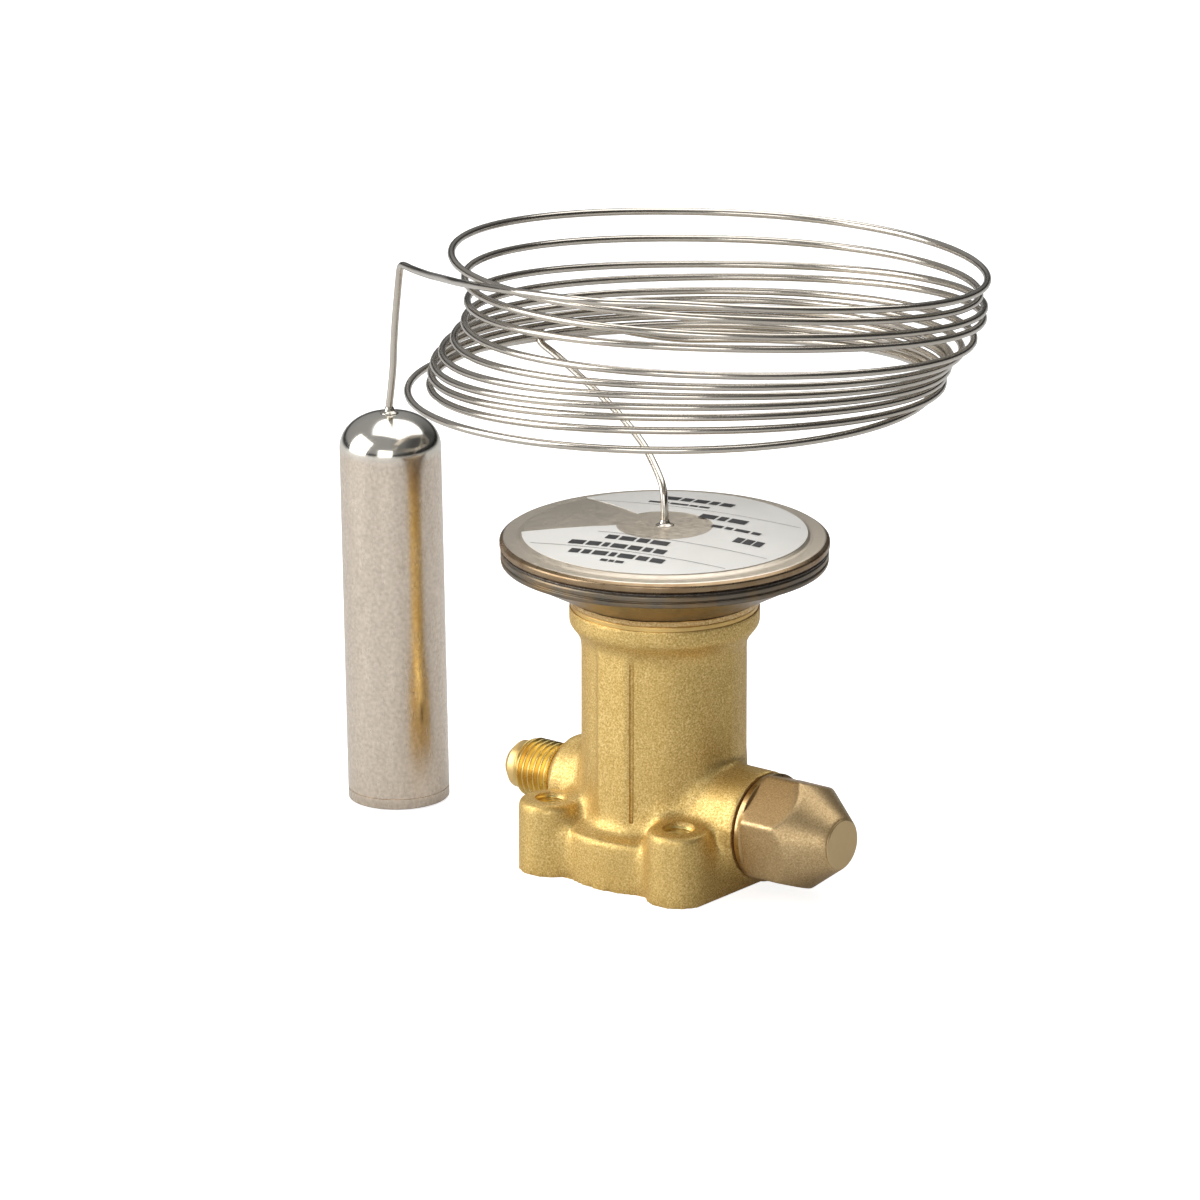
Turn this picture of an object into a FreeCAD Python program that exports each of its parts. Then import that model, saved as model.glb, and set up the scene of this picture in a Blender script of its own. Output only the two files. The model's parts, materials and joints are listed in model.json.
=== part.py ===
"""Sensing and setting unit of a flanged expansion valve, in millimetres.

A cast brass body carries a welded diaphragm head, a flare connection for the pressure equaliser and
a side spindle under a hexagon cap that sets the superheat spring. A long thin capillary joins the
head to a cylindrical sensing bulb that stands beside the body.

The origin lies on the column's axis in the plane of the base's underside. +Z is up, +X points along
the setting spindle and -X along the equaliser connection.
"""
import FreeCAD, Part
import math
import os
import Sketcher

V = FreeCAD.Vector
doc = FreeCAD.newDocument("expansion_valve_unit")

# Driving dimensions: every length that can be set by itself, in millimetres, degrees or counts.
SIZES = {
    # cast body
    "base_radius": 19.8, "base_thick": 9.67, "base_flare": 2.6, "base_edge": 1.0,
    "lug_offset": 14.88, "lug_radius": 6.03, "lug_tall": 13.66, "lug_edge": 1.2, "lug_blend": 2.5,
    "lug_web": 7.6, "bolt_bore": 2.5,
    "column_radius": 15.34, "collar_radius": 17.6, "collar_tall": 6.7, "collar_slope": 2.8,
    "body_tall": 51.0, "collar_land": 0.9, "collar_step": 0.3,
    "panel_width": 7.4, "panel_plane": 15.85, "panel_foot": 9.0,
    # cavities of the body
    "orifice_radius": 13.0, "orifice_deep": 4.0, "floor_top": 7.3, "guide_bore": 3.2,
    "spring_room": 12.0, "head_socket": 13.95, "head_socket_deep": 3.8,
    "key_width": 3.0, "key_deep": 1.0, "key_start": 11.0, "key_slack": 0.05,
    # side bosses
    "spindle_axis": 12.0, "boss_radius": 10.2, "boss_end": 23.1, "spigot_radius": 8.0,
    "spigot_end": 31.1, "gland_bore": 5.4, "pinion_bore": 4.3, "gland_step": 12.95,
    "flare_axis": 12.7, "flare_boss": 8.25, "flare_shoulder": 23.15, "flare_slope": 2.3,
    "flare_thread": 5.54, "flare_thread_end": 31.8, "flare_nose": 4.47, "flare_nose_end": 35.2,
    "flare_tip": 2.9, "thread_chamfer": 0.7, "flare_bore": 2.2, "flare_bore_end": 16.5, "flare_port": 1.2,
    # diaphragm head
    "rim_radius": 30.4, "seam_rise": 10.2, "diaphragm_thick": 0.2, "rim_over": 2.1, "rim_under": 2.65,
    "plate_inset": 3.9, "plate_lift": 0.6, "plate_bulge": 1.5, "shell_wall": 1.3,
    "lower_rim_inset": 0.2, "rim_groove": 0.35, "neck_radius": 16.4, "neck_tall": 0.6, "neck_bore": 12.3,
    "socket_gap": 0.05, "weld_inset": 0.4, "weld_width": 0.75,
    "braze_tall": 1.0, "braze_out": 0.35, "capillary_pass": 0.75, "rim_round": 0.8,
    # label
    "label_inset": 0.2, "label_bore": 8.9, "label_thick": 0.1, "label_start": 217.5, "label_span": 303.5,
    # capillary and bulb
    "tube_radius": 0.7, "ferrule_radius": 1.5, "ferrule_tall": 1.1, "lead_rise": 6.5,
    "bulb_radius": 9.525, "bulb_tall": 75.0, "bulb_dome": 6.5, "bulb_seam": 2.2, "bulb_groove": 0.15,
    "bulb_edge": 0.5,
    "bulb_side": -63.9, "bulb_back": 1.0, "bulb_lean": 1.1, "bulb_lean_way": 219.0,
    "coil_outer": 49.9, "coil_inner": 45.6, "coil_low": 90.2, "coil_high": 116.6,
    "coil_low_side": 2.8, "coil_high_side": 10.0, "coil_tilt": 6.0, "coil_way": 38.0,
    # rod and its guide
    "rod_radius": 1.5, "rod_tip": 4.3, "rod_slack": 0.05, "seat_gap": 0.03,
    "clip_thick": 0.5, "seal_thick": 1.2, "guide_flange": 4.4, "guide_flange_thick": 1.0,
    "pad_inset": 7.5, "pad_plate_thick": 1.0, "pad_cone": 1.1, "pad_radius": 11.0, "pad_rim": 1.0,
    "pad_hub": 4.0, "pad_hub_tall": 2.4, "pad_drop": 0.3,
    # crown gear, seat and spring
    "gear_module": 0.8, "pinion_teeth": 8, "crown_teeth": 24,
    "washer_inner": 4.75, "washer_outer": 7.2, "washer_thick": 0.8, "turn_gap": 0.05,
    "crown_bore": 2.3, "crown_foot_bore": 4.8, "crown_foot_tall": 1.2, "crown_hub": 6.5,
    "crown_outer": 11.2, "crown_inner": 8.0, "crown_plate": 1.8, "crown_screw_end": 32.0,
    "seat_low": 22.5, "seat_tall": 7.0, "seat_flange": 11.6, "seat_flange_thick": 1.8,
    "seat_sleeve": 8.2, "screw_slack": 0.05,
    "wire_radius": 0.9, "spring_radius": 9.5, "spring_turns": 5, "spring_gap": 0.05,
    "tooth_root": 0.78, "tooth_pitch": 0.38, "tooth_tip": 0.18,
    # setting spindle
    "pinion_start": 8.5, "pinion_face": 2.2, "neck_thin": 2.4, "collar_out": 4.7, "collar_thick": 2.0,
    "spindle_radius": 3.0, "spindle_shaft_end": 26.5, "square_flats": 4.2, "spindle_end": 30.3,
    "packing_thick": 3.0, "gland_thick": 6.0, "gland_slot": 1.2, "gland_slot_deep": 1.4,
    # seal cap
    "gasket_inner": 8.2, "gasket_outer": 9.5, "gasket_thick": 0.4,
    "cap_washer": 9.9, "cap_washer_thick": 1.2, "cap_flats": 19.0, "cap_end": 41.2, "cap_nose": 4.75,
    "cap_cone_radius": 9.9, "cap_cone_start": 34.1, "cap_cone_run": 1.33, "cap_rest_angle": 40.0,
    "cap_bore_end": 32.4, "cap_relief_radius": 5.2, "cap_relief_end": 35.0,
}

# Sizes that follow others: the collar and the head's heights from the body's top, its radii from its rim.
FOLLOWING = {
    "collar_start": "=body_tall - collar_tall",
    "seam_top": "=body_tall + seam_rise", "seam_low": "=seam_top - diaphragm_thick",
    "rim_top": "=seam_top + rim_over", "rim_low": "=seam_low - rim_under",
    "plate_edge": "=rim_top + plate_lift", "crown_rise": "=plate_edge + plate_bulge",
    "plate_radius": "=rim_radius - plate_inset", "lower_rim_radius": "=rim_radius - lower_rim_inset",
    "weld_radius": "=rim_radius - weld_inset", "label_radius": "=rim_radius - plate_inset - label_inset",
    "pad_plate": "=rim_radius - plate_inset - pad_inset",
}

sheet = doc.addObject("Spreadsheet::Sheet", "Sizes")
for row, (name, value) in enumerate(list(SIZES.items()) + list(FOLLOWING.items()), start=1):
    sheet.set("A%d" % row, name)
    sheet.set("B%d" % row, str(value))
    sheet.setAlias("B%d" % row, name)
doc.recompute()


class Size:
    """A length that carries both its value and the sheet formula that gives it."""

    def __init__(self, text, value):
        self.text = text
        self.value = value

    @staticmethod
    def of(item):
        return item if isinstance(item, Size) else Size(repr(float(item)), float(item))

    def __add__(self, other):
        other = Size.of(other)
        return Size("(%s + %s)" % (self.text, other.text), self.value + other.value)

    def __sub__(self, other):
        other = Size.of(other)
        return Size("(%s - %s)" % (self.text, other.text), self.value - other.value)

    def __mul__(self, other):
        other = Size.of(other)
        return Size("(%s * %s)" % (self.text, other.text), self.value * other.value)

    def __truediv__(self, other):
        other = Size.of(other)
        return Size("(%s / %s)" % (self.text, other.text), self.value / other.value)

    def __neg__(self):
        return Size("(0 - %s)" % self.text, -self.value)

    def root(self):
        return Size("sqrt(%s)" % self.text, math.sqrt(self.value))

    __radd__ = __add__
    __rmul__ = __mul__


class Sheet:
    """Gives each cell of the sheet as a Size, by its alias."""

    def __getattr__(self, name):
        return Size("Sizes." + name, float(sheet.get(name)))


s = Sheet()
ZERO = Size("0", 0.0)
nodes = []


# Helpers for sketches and features

def bind(item, path, size):
    """Bind one property of an object to a size of the sheet."""
    item.setExpression(path, Size.of(size).text)


def new_body(label):
    body = doc.addObject("PartDesign::Body", label)
    body.Label = label
    nodes.append(body)
    return body


def sketch_on(body, role, offset=None, name="profile"):
    """A sketch on one of the body's own origin planes, moved off it by a size along its normal."""
    sketch = body.newObject("Sketcher::SketchObject", name)
    plane = [item for item in body.Origin.OriginFeatures if item.Role == role][0]
    sketch.AttachmentSupport = [(plane, "")]
    sketch.MapMode = "FlatFace"
    if offset is not None:
        bind(sketch, "AttachmentOffset.Base.z", offset)
    doc.recompute()
    return sketch


def pin_point(sketch, geo, pos, x, y):
    """Fix a point of the sketch by its two distances from the origin, bound to the sheet."""
    for kind, size in (("DistanceX", x), ("DistanceY", y)):
        size = Size.of(size)
        index = sketch.addConstraint(Sketcher.Constraint(kind, -1, 1, geo, pos, size.value))
        if "Sizes" in size.text:
            sketch.setExpression("Constraints[%d]" % index, size.text)


def outline(sketch, points):
    """A closed outline. A point is (x, y), or (x, y, via) where an arc through via leads on."""
    points = [(Size.of(p[0]), Size.of(p[1])) + tuple(p[2:]) for p in points]
    ends = []
    for number, start in enumerate(points):
        end = points[(number + 1) % len(points)]
        first = V(start[0].value, start[1].value, 0)
        last = V(end[0].value, end[1].value, 0)
        if len(start) == 3:
            via = [Size.of(item) for item in start[2]]
            arc = Part.Arc(first, V(via[0].value, via[1].value, 0), last)
            geo = sketch.addGeometry(arc, False)
            swapped = sketch.getPoint(geo, 1).distanceToPoint(first) > 1e-6
            ends.append((geo, 2, 1) if swapped else (geo, 1, 2))
            guide = sketch.addGeometry(Part.Point(V(via[0].value, via[1].value, 0)), True)
            pin_point(sketch, guide, 1, via[0], via[1])
            sketch.addConstraint(Sketcher.Constraint("PointOnObject", guide, 1, geo))
        else:
            geo = sketch.addGeometry(Part.LineSegment(first, last), False)
            ends.append((geo, 1, 2))
    for number, (geo, begin, finish) in enumerate(ends):
        after, after_begin, _ = ends[(number + 1) % len(ends)]
        sketch.addConstraint(Sketcher.Constraint("Coincident", geo, finish, after, after_begin))
        pin_point(sketch, geo, begin, points[number][0], points[number][1])
    return sketch


def ring(sketch, radius, x=ZERO, y=ZERO):
    """A circle of a bound radius and centre."""
    x, y, radius = Size.of(x), Size.of(y), Size.of(radius)
    geo = sketch.addGeometry(Part.Circle(V(x.value, y.value, 0), V(0, 0, 1), radius.value), False)
    index = sketch.addConstraint(Sketcher.Constraint("Radius", geo, radius.value))
    sketch.setExpression("Constraints[%d]" % index, radius.text)
    pin_point(sketch, geo, 3, x, y)
    return sketch


def pad(body, sketch, length, reverse=False, kind="PartDesign::Pad"):
    feature = body.newObject(kind, kind.split("::")[1])
    feature.Profile = sketch
    bind(feature, "Length", length)
    feature.Reversed = reverse
    doc.recompute()
    return feature


def pocket(body, sketch, length, reverse=False):
    """Cut a pocket, and make sure that it takes material away."""
    before = body.Shape.Volume
    feature = pad(body, sketch, length, reverse, "PartDesign::Pocket")
    if not body.Shape.Volume < before - 1e-6:
        raise RuntimeError("a pocket of %s cuts nothing" % body.Label)
    return feature


def turn(body, sketch, axis="V_Axis", angle=None, kind="PartDesign::Revolution"):
    """Revolve a profile about one of its sketch's axes."""
    feature = body.newObject(kind, kind.split("::")[1])
    feature.Profile = sketch
    feature.ReferenceAxis = (sketch, [axis])
    if angle is None:
        feature.Angle = 360.0
    else:
        bind(feature, "Angle", angle)
    doc.recompute()
    return feature


def groove(body, sketch, axis="V_Axis"):
    """Turn a groove, and make sure that it takes material away."""
    before = body.Shape.Volume
    feature = turn(body, sketch, axis, kind="PartDesign::Groove")
    if not body.Shape.Volume < before - 1e-6:
        raise RuntimeError("a groove of %s cuts nothing" % body.Label)
    return feature


def polar(body, feature, axis, count):
    """Repeat a feature round one of the body's origin axes."""
    pattern = body.newObject("PartDesign::PolarPattern", "PolarPattern")
    pattern.Originals = [feature]
    line = [item for item in body.Origin.OriginFeatures if item.Role == axis][0]
    pattern.Axis = (line, [""])
    pattern.Angle = 360
    bind(pattern, "Occurrences", count)
    body.Tip = pattern
    doc.recompute()
    return pattern


def turned(label, points, axis="V_Axis", role="XZ_Plane"):
    """A body that is one closed profile turned about an axis."""
    body = new_body(label)
    turn(body, outline(sketch_on(body, role), points), axis)
    return body


def tube_points(inner, outer, low, high):
    """A plain rectangle of a turned ring: two radii and two levels."""
    return [(inner, low), (outer, low), (outer, high), (inner, high)]


def bow(x, y, corner_x, corner_y, size):
    """The middle point of a quarter round of a given size, seen from its centre towards a corner."""
    share = math.sqrt(0.5)
    return (x + size * (share * corner_x), y + size * (share * corner_y))


# Cast body

CORNERS = [(1, 1), (-1, 1), (-1, -1), (1, -1)]


def body_core(body):
    """Base disc, flared foot, column and collar as one turned profile."""
    flare_out = s.column_radius + s.base_flare
    collar_top = s.body_tall - s.collar_land
    collar_land = s.collar_radius - s.collar_step
    points = [
        (ZERO, ZERO),
        (s.base_radius, ZERO),
        (s.base_radius, s.base_thick - s.base_edge,
         bow(s.base_radius - s.base_edge, s.base_thick - s.base_edge, 1, 1, s.base_edge)),
        (s.base_radius - s.base_edge, s.base_thick),
        (flare_out, s.base_thick, bow(flare_out, s.base_thick + s.base_flare, -1, -1, s.base_flare)),
        (s.column_radius, s.base_thick + s.base_flare),
        (s.column_radius, s.collar_start),
        (s.collar_radius, s.collar_start + s.collar_slope),
        (s.collar_radius, collar_top),
        (collar_land, collar_top),
        (collar_land, s.body_tall),
        (ZERO, s.body_tall),
    ]
    turn(body, outline(sketch_on(body, "XZ_Plane"), points))


def body_lug(body, way_x, way_y):
    """One bolting lug: a post with a rounded top, turned about its own axis."""
    axis = s.lug_offset * way_x
    side = axis + s.lug_radius
    sketch = outline(sketch_on(body, "XZ_Plane", s.lug_offset * -way_y), [
        (axis, ZERO),
        (side, ZERO),
        (side, s.lug_tall - s.lug_edge, bow(side - s.lug_edge, s.lug_tall - s.lug_edge, 1, 1, s.lug_edge)),
        (side - s.lug_edge, s.lug_tall),
        (axis, s.lug_tall),
    ])
    line = sketch.addGeometry(Part.LineSegment(V(axis.value, 0, 0), V(axis.value, s.lug_tall.value, 0)), True)
    pin_point(sketch, line, 1, axis, ZERO)
    pin_point(sketch, line, 2, axis, s.lug_tall)
    turn(body, sketch, "Axis0")


def lug_corner(way_x, way_y, turn_way):
    """The cast corner where a lug leaves the disc: an arc that touches both, closed on its inner side."""
    reach = s.lug_offset * math.sqrt(2)
    disc = s.base_radius + s.lug_blend
    post = s.lug_radius + s.lug_blend
    along = (disc * disc - post * post + reach * reach) / (reach * 2)
    aside = (disc * disc - along * along).root() * turn_way

    def place(far, off):
        share = math.sqrt(0.5)
        return ((far * way_x - off * way_y) * share, (far * way_y + off * way_x) * share)

    disc_share = s.base_radius / disc
    post_share = s.lug_radius / post
    on_disc = (along * disc_share, aside * disc_share)
    on_post = (reach + (along - reach) * post_share, aside * post_share)
    chord_far = (on_disc[0] + on_post[0]) * 0.5 - along
    chord_off = (on_disc[1] + on_post[1]) * 0.5 - aside
    pull = s.lug_blend / (chord_far * chord_far + chord_off * chord_off).root()
    middle = place(along + chord_far * pull, aside + chord_off * pull)
    inner = place(reach * 0.8, ZERO)
    return [place(*on_disc) + (middle,), place(*on_post), inner]


def body_lugs(body):
    """Four bolting lugs, each tied to the column by a web, and the straight wall on the spindle's side."""
    webs = sketch_on(body, "XY_Plane")
    half = s.lug_web * (0.5 * math.sqrt(0.5))
    inner = s.column_radius * 0.5
    for way_x, way_y in CORNERS:
        body_lug(body, way_x, way_y)
        outline(webs, [
            (inner * way_x - half * way_x, inner * way_y + half * way_y),
            (inner * way_x + half * way_x, inner * way_y - half * way_y),
            (s.lug_offset * way_x + half * way_x, s.lug_offset * way_y - half * way_y),
            (s.lug_offset * way_x - half * way_x, s.lug_offset * way_y + half * way_y),
        ])
    pad(body, webs, s.lug_tall)
    for way_x, way_y in CORNERS:
        for turn_way in (-1, 1):
            if way_x < 0 or turn_way * way_y > 0:
                corner = outline(sketch_on(body, "XY_Plane"), lug_corner(way_x, way_y, turn_way))
                pad(body, corner, s.base_thick - s.base_edge)
    wall = s.lug_offset + s.lug_radius
    side = outline(sketch_on(body, "XY_Plane"), [
        (ZERO, -s.lug_offset), (wall, -s.lug_offset), (wall, s.lug_offset), (ZERO, s.lug_offset)])
    pad(body, side, s.base_thick)


def body_bosses(body):
    """Spindle boss with the cap's spigot, equaliser connection, and the flat panel of the column."""
    pad(body, ring(sketch_on(body, "YZ_Plane"), s.boss_radius, ZERO, s.spindle_axis), s.boss_end)
    pad(body, ring(sketch_on(body, "YZ_Plane"), s.spigot_radius, ZERO, s.spindle_axis), s.spigot_end)
    slope = s.flare_shoulder - s.flare_slope
    cone = s.flare_nose_end - (s.flare_nose - s.flare_tip)
    flare = outline(sketch_on(body, "XY_Plane", s.flare_axis), [
        (ZERO, ZERO),
        (ZERO, s.flare_boss),
        (-slope, s.flare_boss),
        (-s.flare_shoulder, s.flare_thread),
        (-(s.flare_thread_end - s.thread_chamfer), s.flare_thread),
        (-s.flare_thread_end, s.flare_nose),
        (-cone, s.flare_nose),
        (-s.flare_nose_end, s.flare_tip),
        (-s.flare_nose_end, ZERO),
    ])
    turn(body, flare, "H_Axis")
    half = s.panel_width * 0.5
    panel = outline(sketch_on(body, "XZ_Plane"), [
        (-half, s.panel_foot), (half, s.panel_foot),
        (half, s.collar_start + s.collar_slope * 0.5), (-half, s.collar_start + s.collar_slope * 0.5)])
    pad(body, panel, s.panel_plane)


def body_cavities(body):
    """Orifice seat, floor, spring room and head socket, the two side bores, key slot and bolt holes."""
    socket = s.body_tall - s.head_socket_deep
    groove(body, outline(sketch_on(body, "XZ_Plane"), [
        (ZERO, ZERO), (s.orifice_radius, ZERO), (s.orifice_radius, s.orifice_deep),
        (s.guide_bore, s.orifice_deep), (s.guide_bore, s.floor_top), (s.spring_room, s.floor_top),
        (s.spring_room, socket), (s.head_socket, socket), (s.head_socket, s.body_tall),
        (ZERO, s.body_tall)]))
    inside = s.crown_inner
    groove(body, outline(sketch_on(body, "XY_Plane", s.spindle_axis), [
        (inside, ZERO), (inside, s.pinion_bore), (s.gland_step, s.pinion_bore),
        (s.gland_step, s.gland_bore), (s.spigot_end, s.gland_bore), (s.spigot_end, ZERO)]), "H_Axis")
    groove(body, outline(sketch_on(body, "XY_Plane", s.flare_axis), [
        (-inside, ZERO), (-inside, s.flare_port), (-s.flare_bore_end, s.flare_port),
        (-s.flare_bore_end, s.flare_bore), (-s.flare_nose_end, s.flare_bore),
        (-s.flare_nose_end, ZERO)]), "H_Axis")
    half = s.key_width * 0.5
    key = outline(sketch_on(body, "XY_Plane", socket), [
        (-half, ZERO), (half, ZERO), (half, s.spring_room + s.key_deep), (-half, s.spring_room + s.key_deep)])
    pocket(body, key, socket - s.floor_top - s.key_start)
    holes = sketch_on(body, "XY_Plane", s.lug_tall)
    for way_x, way_y in CORNERS:
        ring(holes, s.bolt_bore, s.lug_offset * way_x, s.lug_offset * way_y)
    pocket(body, holes, s.lug_tall)


def valve_body():
    body = new_body("valve_body")
    body_core(body)
    body_lugs(body)
    body_bosses(body)
    body_cavities(body)
    return body


# Diaphragm head

def crown_at(share, drop=ZERO):
    """A point of the domed top plate, at a share of the plate's radius and a drop below its surface."""
    fall = (s.crown_rise - s.plate_edge) * (share * share)
    return (s.plate_radius * share, s.crown_rise - fall - drop)


def upper_shell():
    corner = s.rim_radius - s.rim_round
    shoulder = s.plate_radius + (s.plate_edge - s.rim_top)
    inner_rim = s.plate_radius + s.shell_wall
    turned("upper_shell", [
        (s.capillary_pass, s.crown_rise - s.shell_wall),
        (s.capillary_pass, s.crown_rise),
        (s.ferrule_radius, s.crown_rise, crown_at(0.5)),
        (s.plate_radius, s.plate_edge),
        (shoulder, s.rim_top),
        (corner, s.rim_top, bow(corner, s.rim_top - s.rim_round, 1, 1, s.rim_round)),
        (s.rim_radius, s.rim_top - s.rim_round),
        (s.rim_radius, s.seam_top + s.rim_groove),
        (s.rim_radius - s.rim_groove, s.seam_top),
        (inner_rim, s.seam_top),
        (s.plate_radius, s.plate_edge - s.shell_wall, crown_at(0.5, s.shell_wall)),
    ])


def lower_shell():
    """The lower half of the head: a sleeve in the body's socket, a cone and a grooved rim."""
    sleeve = s.head_socket - s.socket_gap
    foot = s.body_tall - s.head_socket_deep + s.socket_gap
    seat = s.body_tall + s.neck_tall
    groove_mid = (s.rim_low + s.seam_low) * 0.5
    rim = s.lower_rim_radius
    turned("lower_shell", [
        (s.neck_bore, foot),
        (sleeve, foot),
        (sleeve, s.body_tall),
        (s.neck_radius, s.body_tall),
        (s.neck_radius, seat),
        (rim - s.rim_round, s.rim_low),
        (rim, s.rim_low + s.rim_round * 0.5),
        (rim, groove_mid - s.rim_groove),
        (rim - s.rim_groove, groove_mid),
        (rim, groove_mid + s.rim_groove),
        (rim, s.seam_low - s.rim_groove),
        (rim - s.rim_groove, s.seam_low),
        (s.plate_radius + s.shell_wall, s.seam_low),
        (s.plate_radius, s.seam_low - s.shell_wall * 0.5),
        (s.neck_bore + s.shell_wall, seat + s.shell_wall),
        (s.neck_bore, seat + s.shell_wall),
    ])


def head_pieces():
    """Diaphragm, its seam weld, the brazed joint on the body and the bead round the capillary."""
    turned("diaphragm", [
        (ZERO, s.seam_low), (s.weld_radius - s.weld_width - s.seat_gap, s.seam_low),
        (s.weld_radius - s.weld_width - s.seat_gap, s.seam_top), (ZERO, s.seam_top)])
    turned("rim_weld", tube_points(s.weld_radius - s.weld_width, s.weld_radius, s.seam_low, s.seam_top))
    near = s.neck_radius + s.seat_gap
    far = s.collar_radius - s.collar_step
    turned("braze_fillet", [
        (near, s.body_tall), (far, s.body_tall),
        (far + s.braze_out, s.body_tall + s.braze_tall), (near, s.body_tall + s.neck_tall * 0.8)])
    bead("head_ferrule", s.crown_rise)


def bead(label, foot):
    """A flared bead of solder that closes a hole round the capillary."""
    body = turned(label, [
        (ZERO, foot), (s.ferrule_radius, foot,
                       (s.tube_radius + (s.ferrule_radius - s.tube_radius) * 0.4, foot + s.ferrule_tall * 0.35)),
        (s.tube_radius, foot + s.ferrule_tall), (ZERO, foot + s.ferrule_tall)])
    return body


def head_label():
    """The thin round label on the top plate, open over one sector and round the capillary."""
    body = new_body("head_label")
    inner = s.label_bore / s.plate_radius
    outer = s.label_radius / s.plate_radius
    middle = (inner + outer) * 0.5
    rise = s.crown_rise - s.plate_edge

    def level(share, lift):
        return s.crown_rise - rise * share * share + lift

    low = s.seat_gap
    high = s.seat_gap + s.label_thick
    profile = outline(sketch_on(body, "XZ_Plane"), [
        (s.label_bore, level(inner, low), (s.plate_radius * middle, level(middle, low))),
        (s.label_radius, level(outer, low)),
        (s.label_radius, level(outer, high), (s.plate_radius * middle, level(middle, high))),
        (s.label_bore, level(inner, high))])
    turn(body, profile, angle=s.label_span)
    body.Placement = FreeCAD.Placement(V(0, 0, 0), V(0, 0, 1), s.label_start.value)
    bind(body, "Placement.Rotation.Angle", s.label_start)


# Bulb

def stand_bulb(body):
    """Stand a piece of the bulb beside the valve, leaning a little, with its low edge on the ground."""
    way = math.radians(s.bulb_lean_way.value)
    body.Placement = FreeCAD.Placement(V(0, 0, 0), V(-math.sin(way), math.cos(way), 0), s.bulb_lean.value)
    bind(body, "Placement.Rotation.Angle", s.bulb_lean)
    bind(body, "Placement.Base.x", s.bulb_side)
    bind(body, "Placement.Base.y", s.bulb_back)
    body.setExpression("Placement.Base.z", "Sizes.bulb_radius * sin(Sizes.bulb_lean * 1 deg)")


def dome_at(degrees):
    """A point of the bulb's elliptic dome."""
    angle = math.radians(degrees)
    return (s.bulb_radius * math.cos(angle), s.bulb_tall - s.bulb_dome + s.bulb_dome * math.sin(angle))


def bulb():
    shell = turned("sensing_bulb", [
        (ZERO, ZERO),
        (s.bulb_radius - s.bulb_edge, ZERO),
        (s.bulb_radius, s.bulb_edge),
        (s.bulb_radius, s.bulb_seam - s.bulb_groove),
        (s.bulb_radius - s.bulb_groove, s.bulb_seam),
        (s.bulb_radius, s.bulb_seam + s.bulb_groove),
        (s.bulb_radius, s.bulb_tall - s.bulb_dome, dome_at(25)),
        dome_at(50) + (dome_at(68),),
        (s.ferrule_radius, s.bulb_tall),
        (ZERO, s.bulb_tall),
    ])
    stand_bulb(shell)
    stand_bulb(bead("bulb_ferrule", s.bulb_tall))


# Capillary: two free runs and the shape that its coil fills

HEAD_LEAD = [
    (0.0, 0.0, 66.5), (0.0, 0.0, 70.0), (-1.2, 0.9, 72.7), (-4.2, 2.7, 75.0), (-8.8, 5.3, 77.8),
    (-14.6, 7.8, 80.2), (-20.8, 10.3, 82.4), (-27.2, 12.4, 84.4), (-33.0, 14.3, 86.2),
    (-38.0, 15.7, 87.8), (-41.4, 17.0, 89.2), (-43.1, 19.2, 90.6), (-42.4, 22.0, 91.6),
    (-40.6, 24.8, 92.0),
]
BULB_LEAD = [
    (-64.4, 0.7, 88.0), (-64.1, 0.8, 93.0), (-63.7, 0.9, 97.4), (-63.2, 0.8, 101.0),
    (-62.6, 0.4, 103.4), (-61.2, -0.7, 104.6), (-58.8, -2.4, 105.1), (-55.2, -5.0, 105.7),
    (-50.0, -9.0, 106.9), (-43.4, -14.4, 108.6), (-36.0, -20.6, 110.8), (-28.6, -27.0, 113.0),
]


def tube_along(points, radius, label):
    """A round bar along straight runs joined by tangent arcs, as large as the runs allow."""
    points = [V(*point) for point in points]
    edges = []
    radii = []
    at = points[0]
    for before, corner, after in zip(points, points[1:], points[2:]):
        run_in = corner - before
        run_out = after - corner
        half = run_in.getAngle(run_out) / 2
        back = 0.45 * min(run_in.Length, run_out.Length)
        radii.append(back / math.tan(half))
        first = corner - V(run_in).normalize() * back
        last = corner + V(run_out).normalize() * back
        inward = (V(run_out).normalize() - V(run_in).normalize()).normalize()
        centre = corner + inward * (radii[-1] / math.cos(half))
        middle = centre - inward * radii[-1]
        edges.append(Part.LineSegment(at, first).toShape())
        edges.append(Part.Arc(first, middle, last).toShape())
        at = last
    edges.append(Part.LineSegment(at, points[-1]).toShape())
    path = Part.Wire(edges)
    circle = Part.Wire([Part.Circle(points[0], points[1] - points[0], radius).toShape()])
    bar = path.makePipeShell([circle], True, False)
    expected = math.pi * radius * radius * path.Length
    print("%s: %.1f mm long, volume %.4f of section times length, radii %s" % (
        label, path.Length, bar.Volume / expected, " ".join("%.1f" % item for item in radii)))
    return bar


def cord_piece(label, points, coil, seal):
    """A free run of the capillary as a feature of its own, from its bead of solder to the coil's face."""
    bar = tube_along(points, s.tube_radius.value, label).cut(coil.Shape).cut(doc.getObject(seal).Shape)
    piece = doc.addObject("Part::Feature", label)
    piece.Label = label
    piece.Shape = max(bar.Solids, key=lambda solid: solid.Volume)
    piece.Placement = FreeCAD.Placement()
    nodes.append(piece)
    return piece


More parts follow.
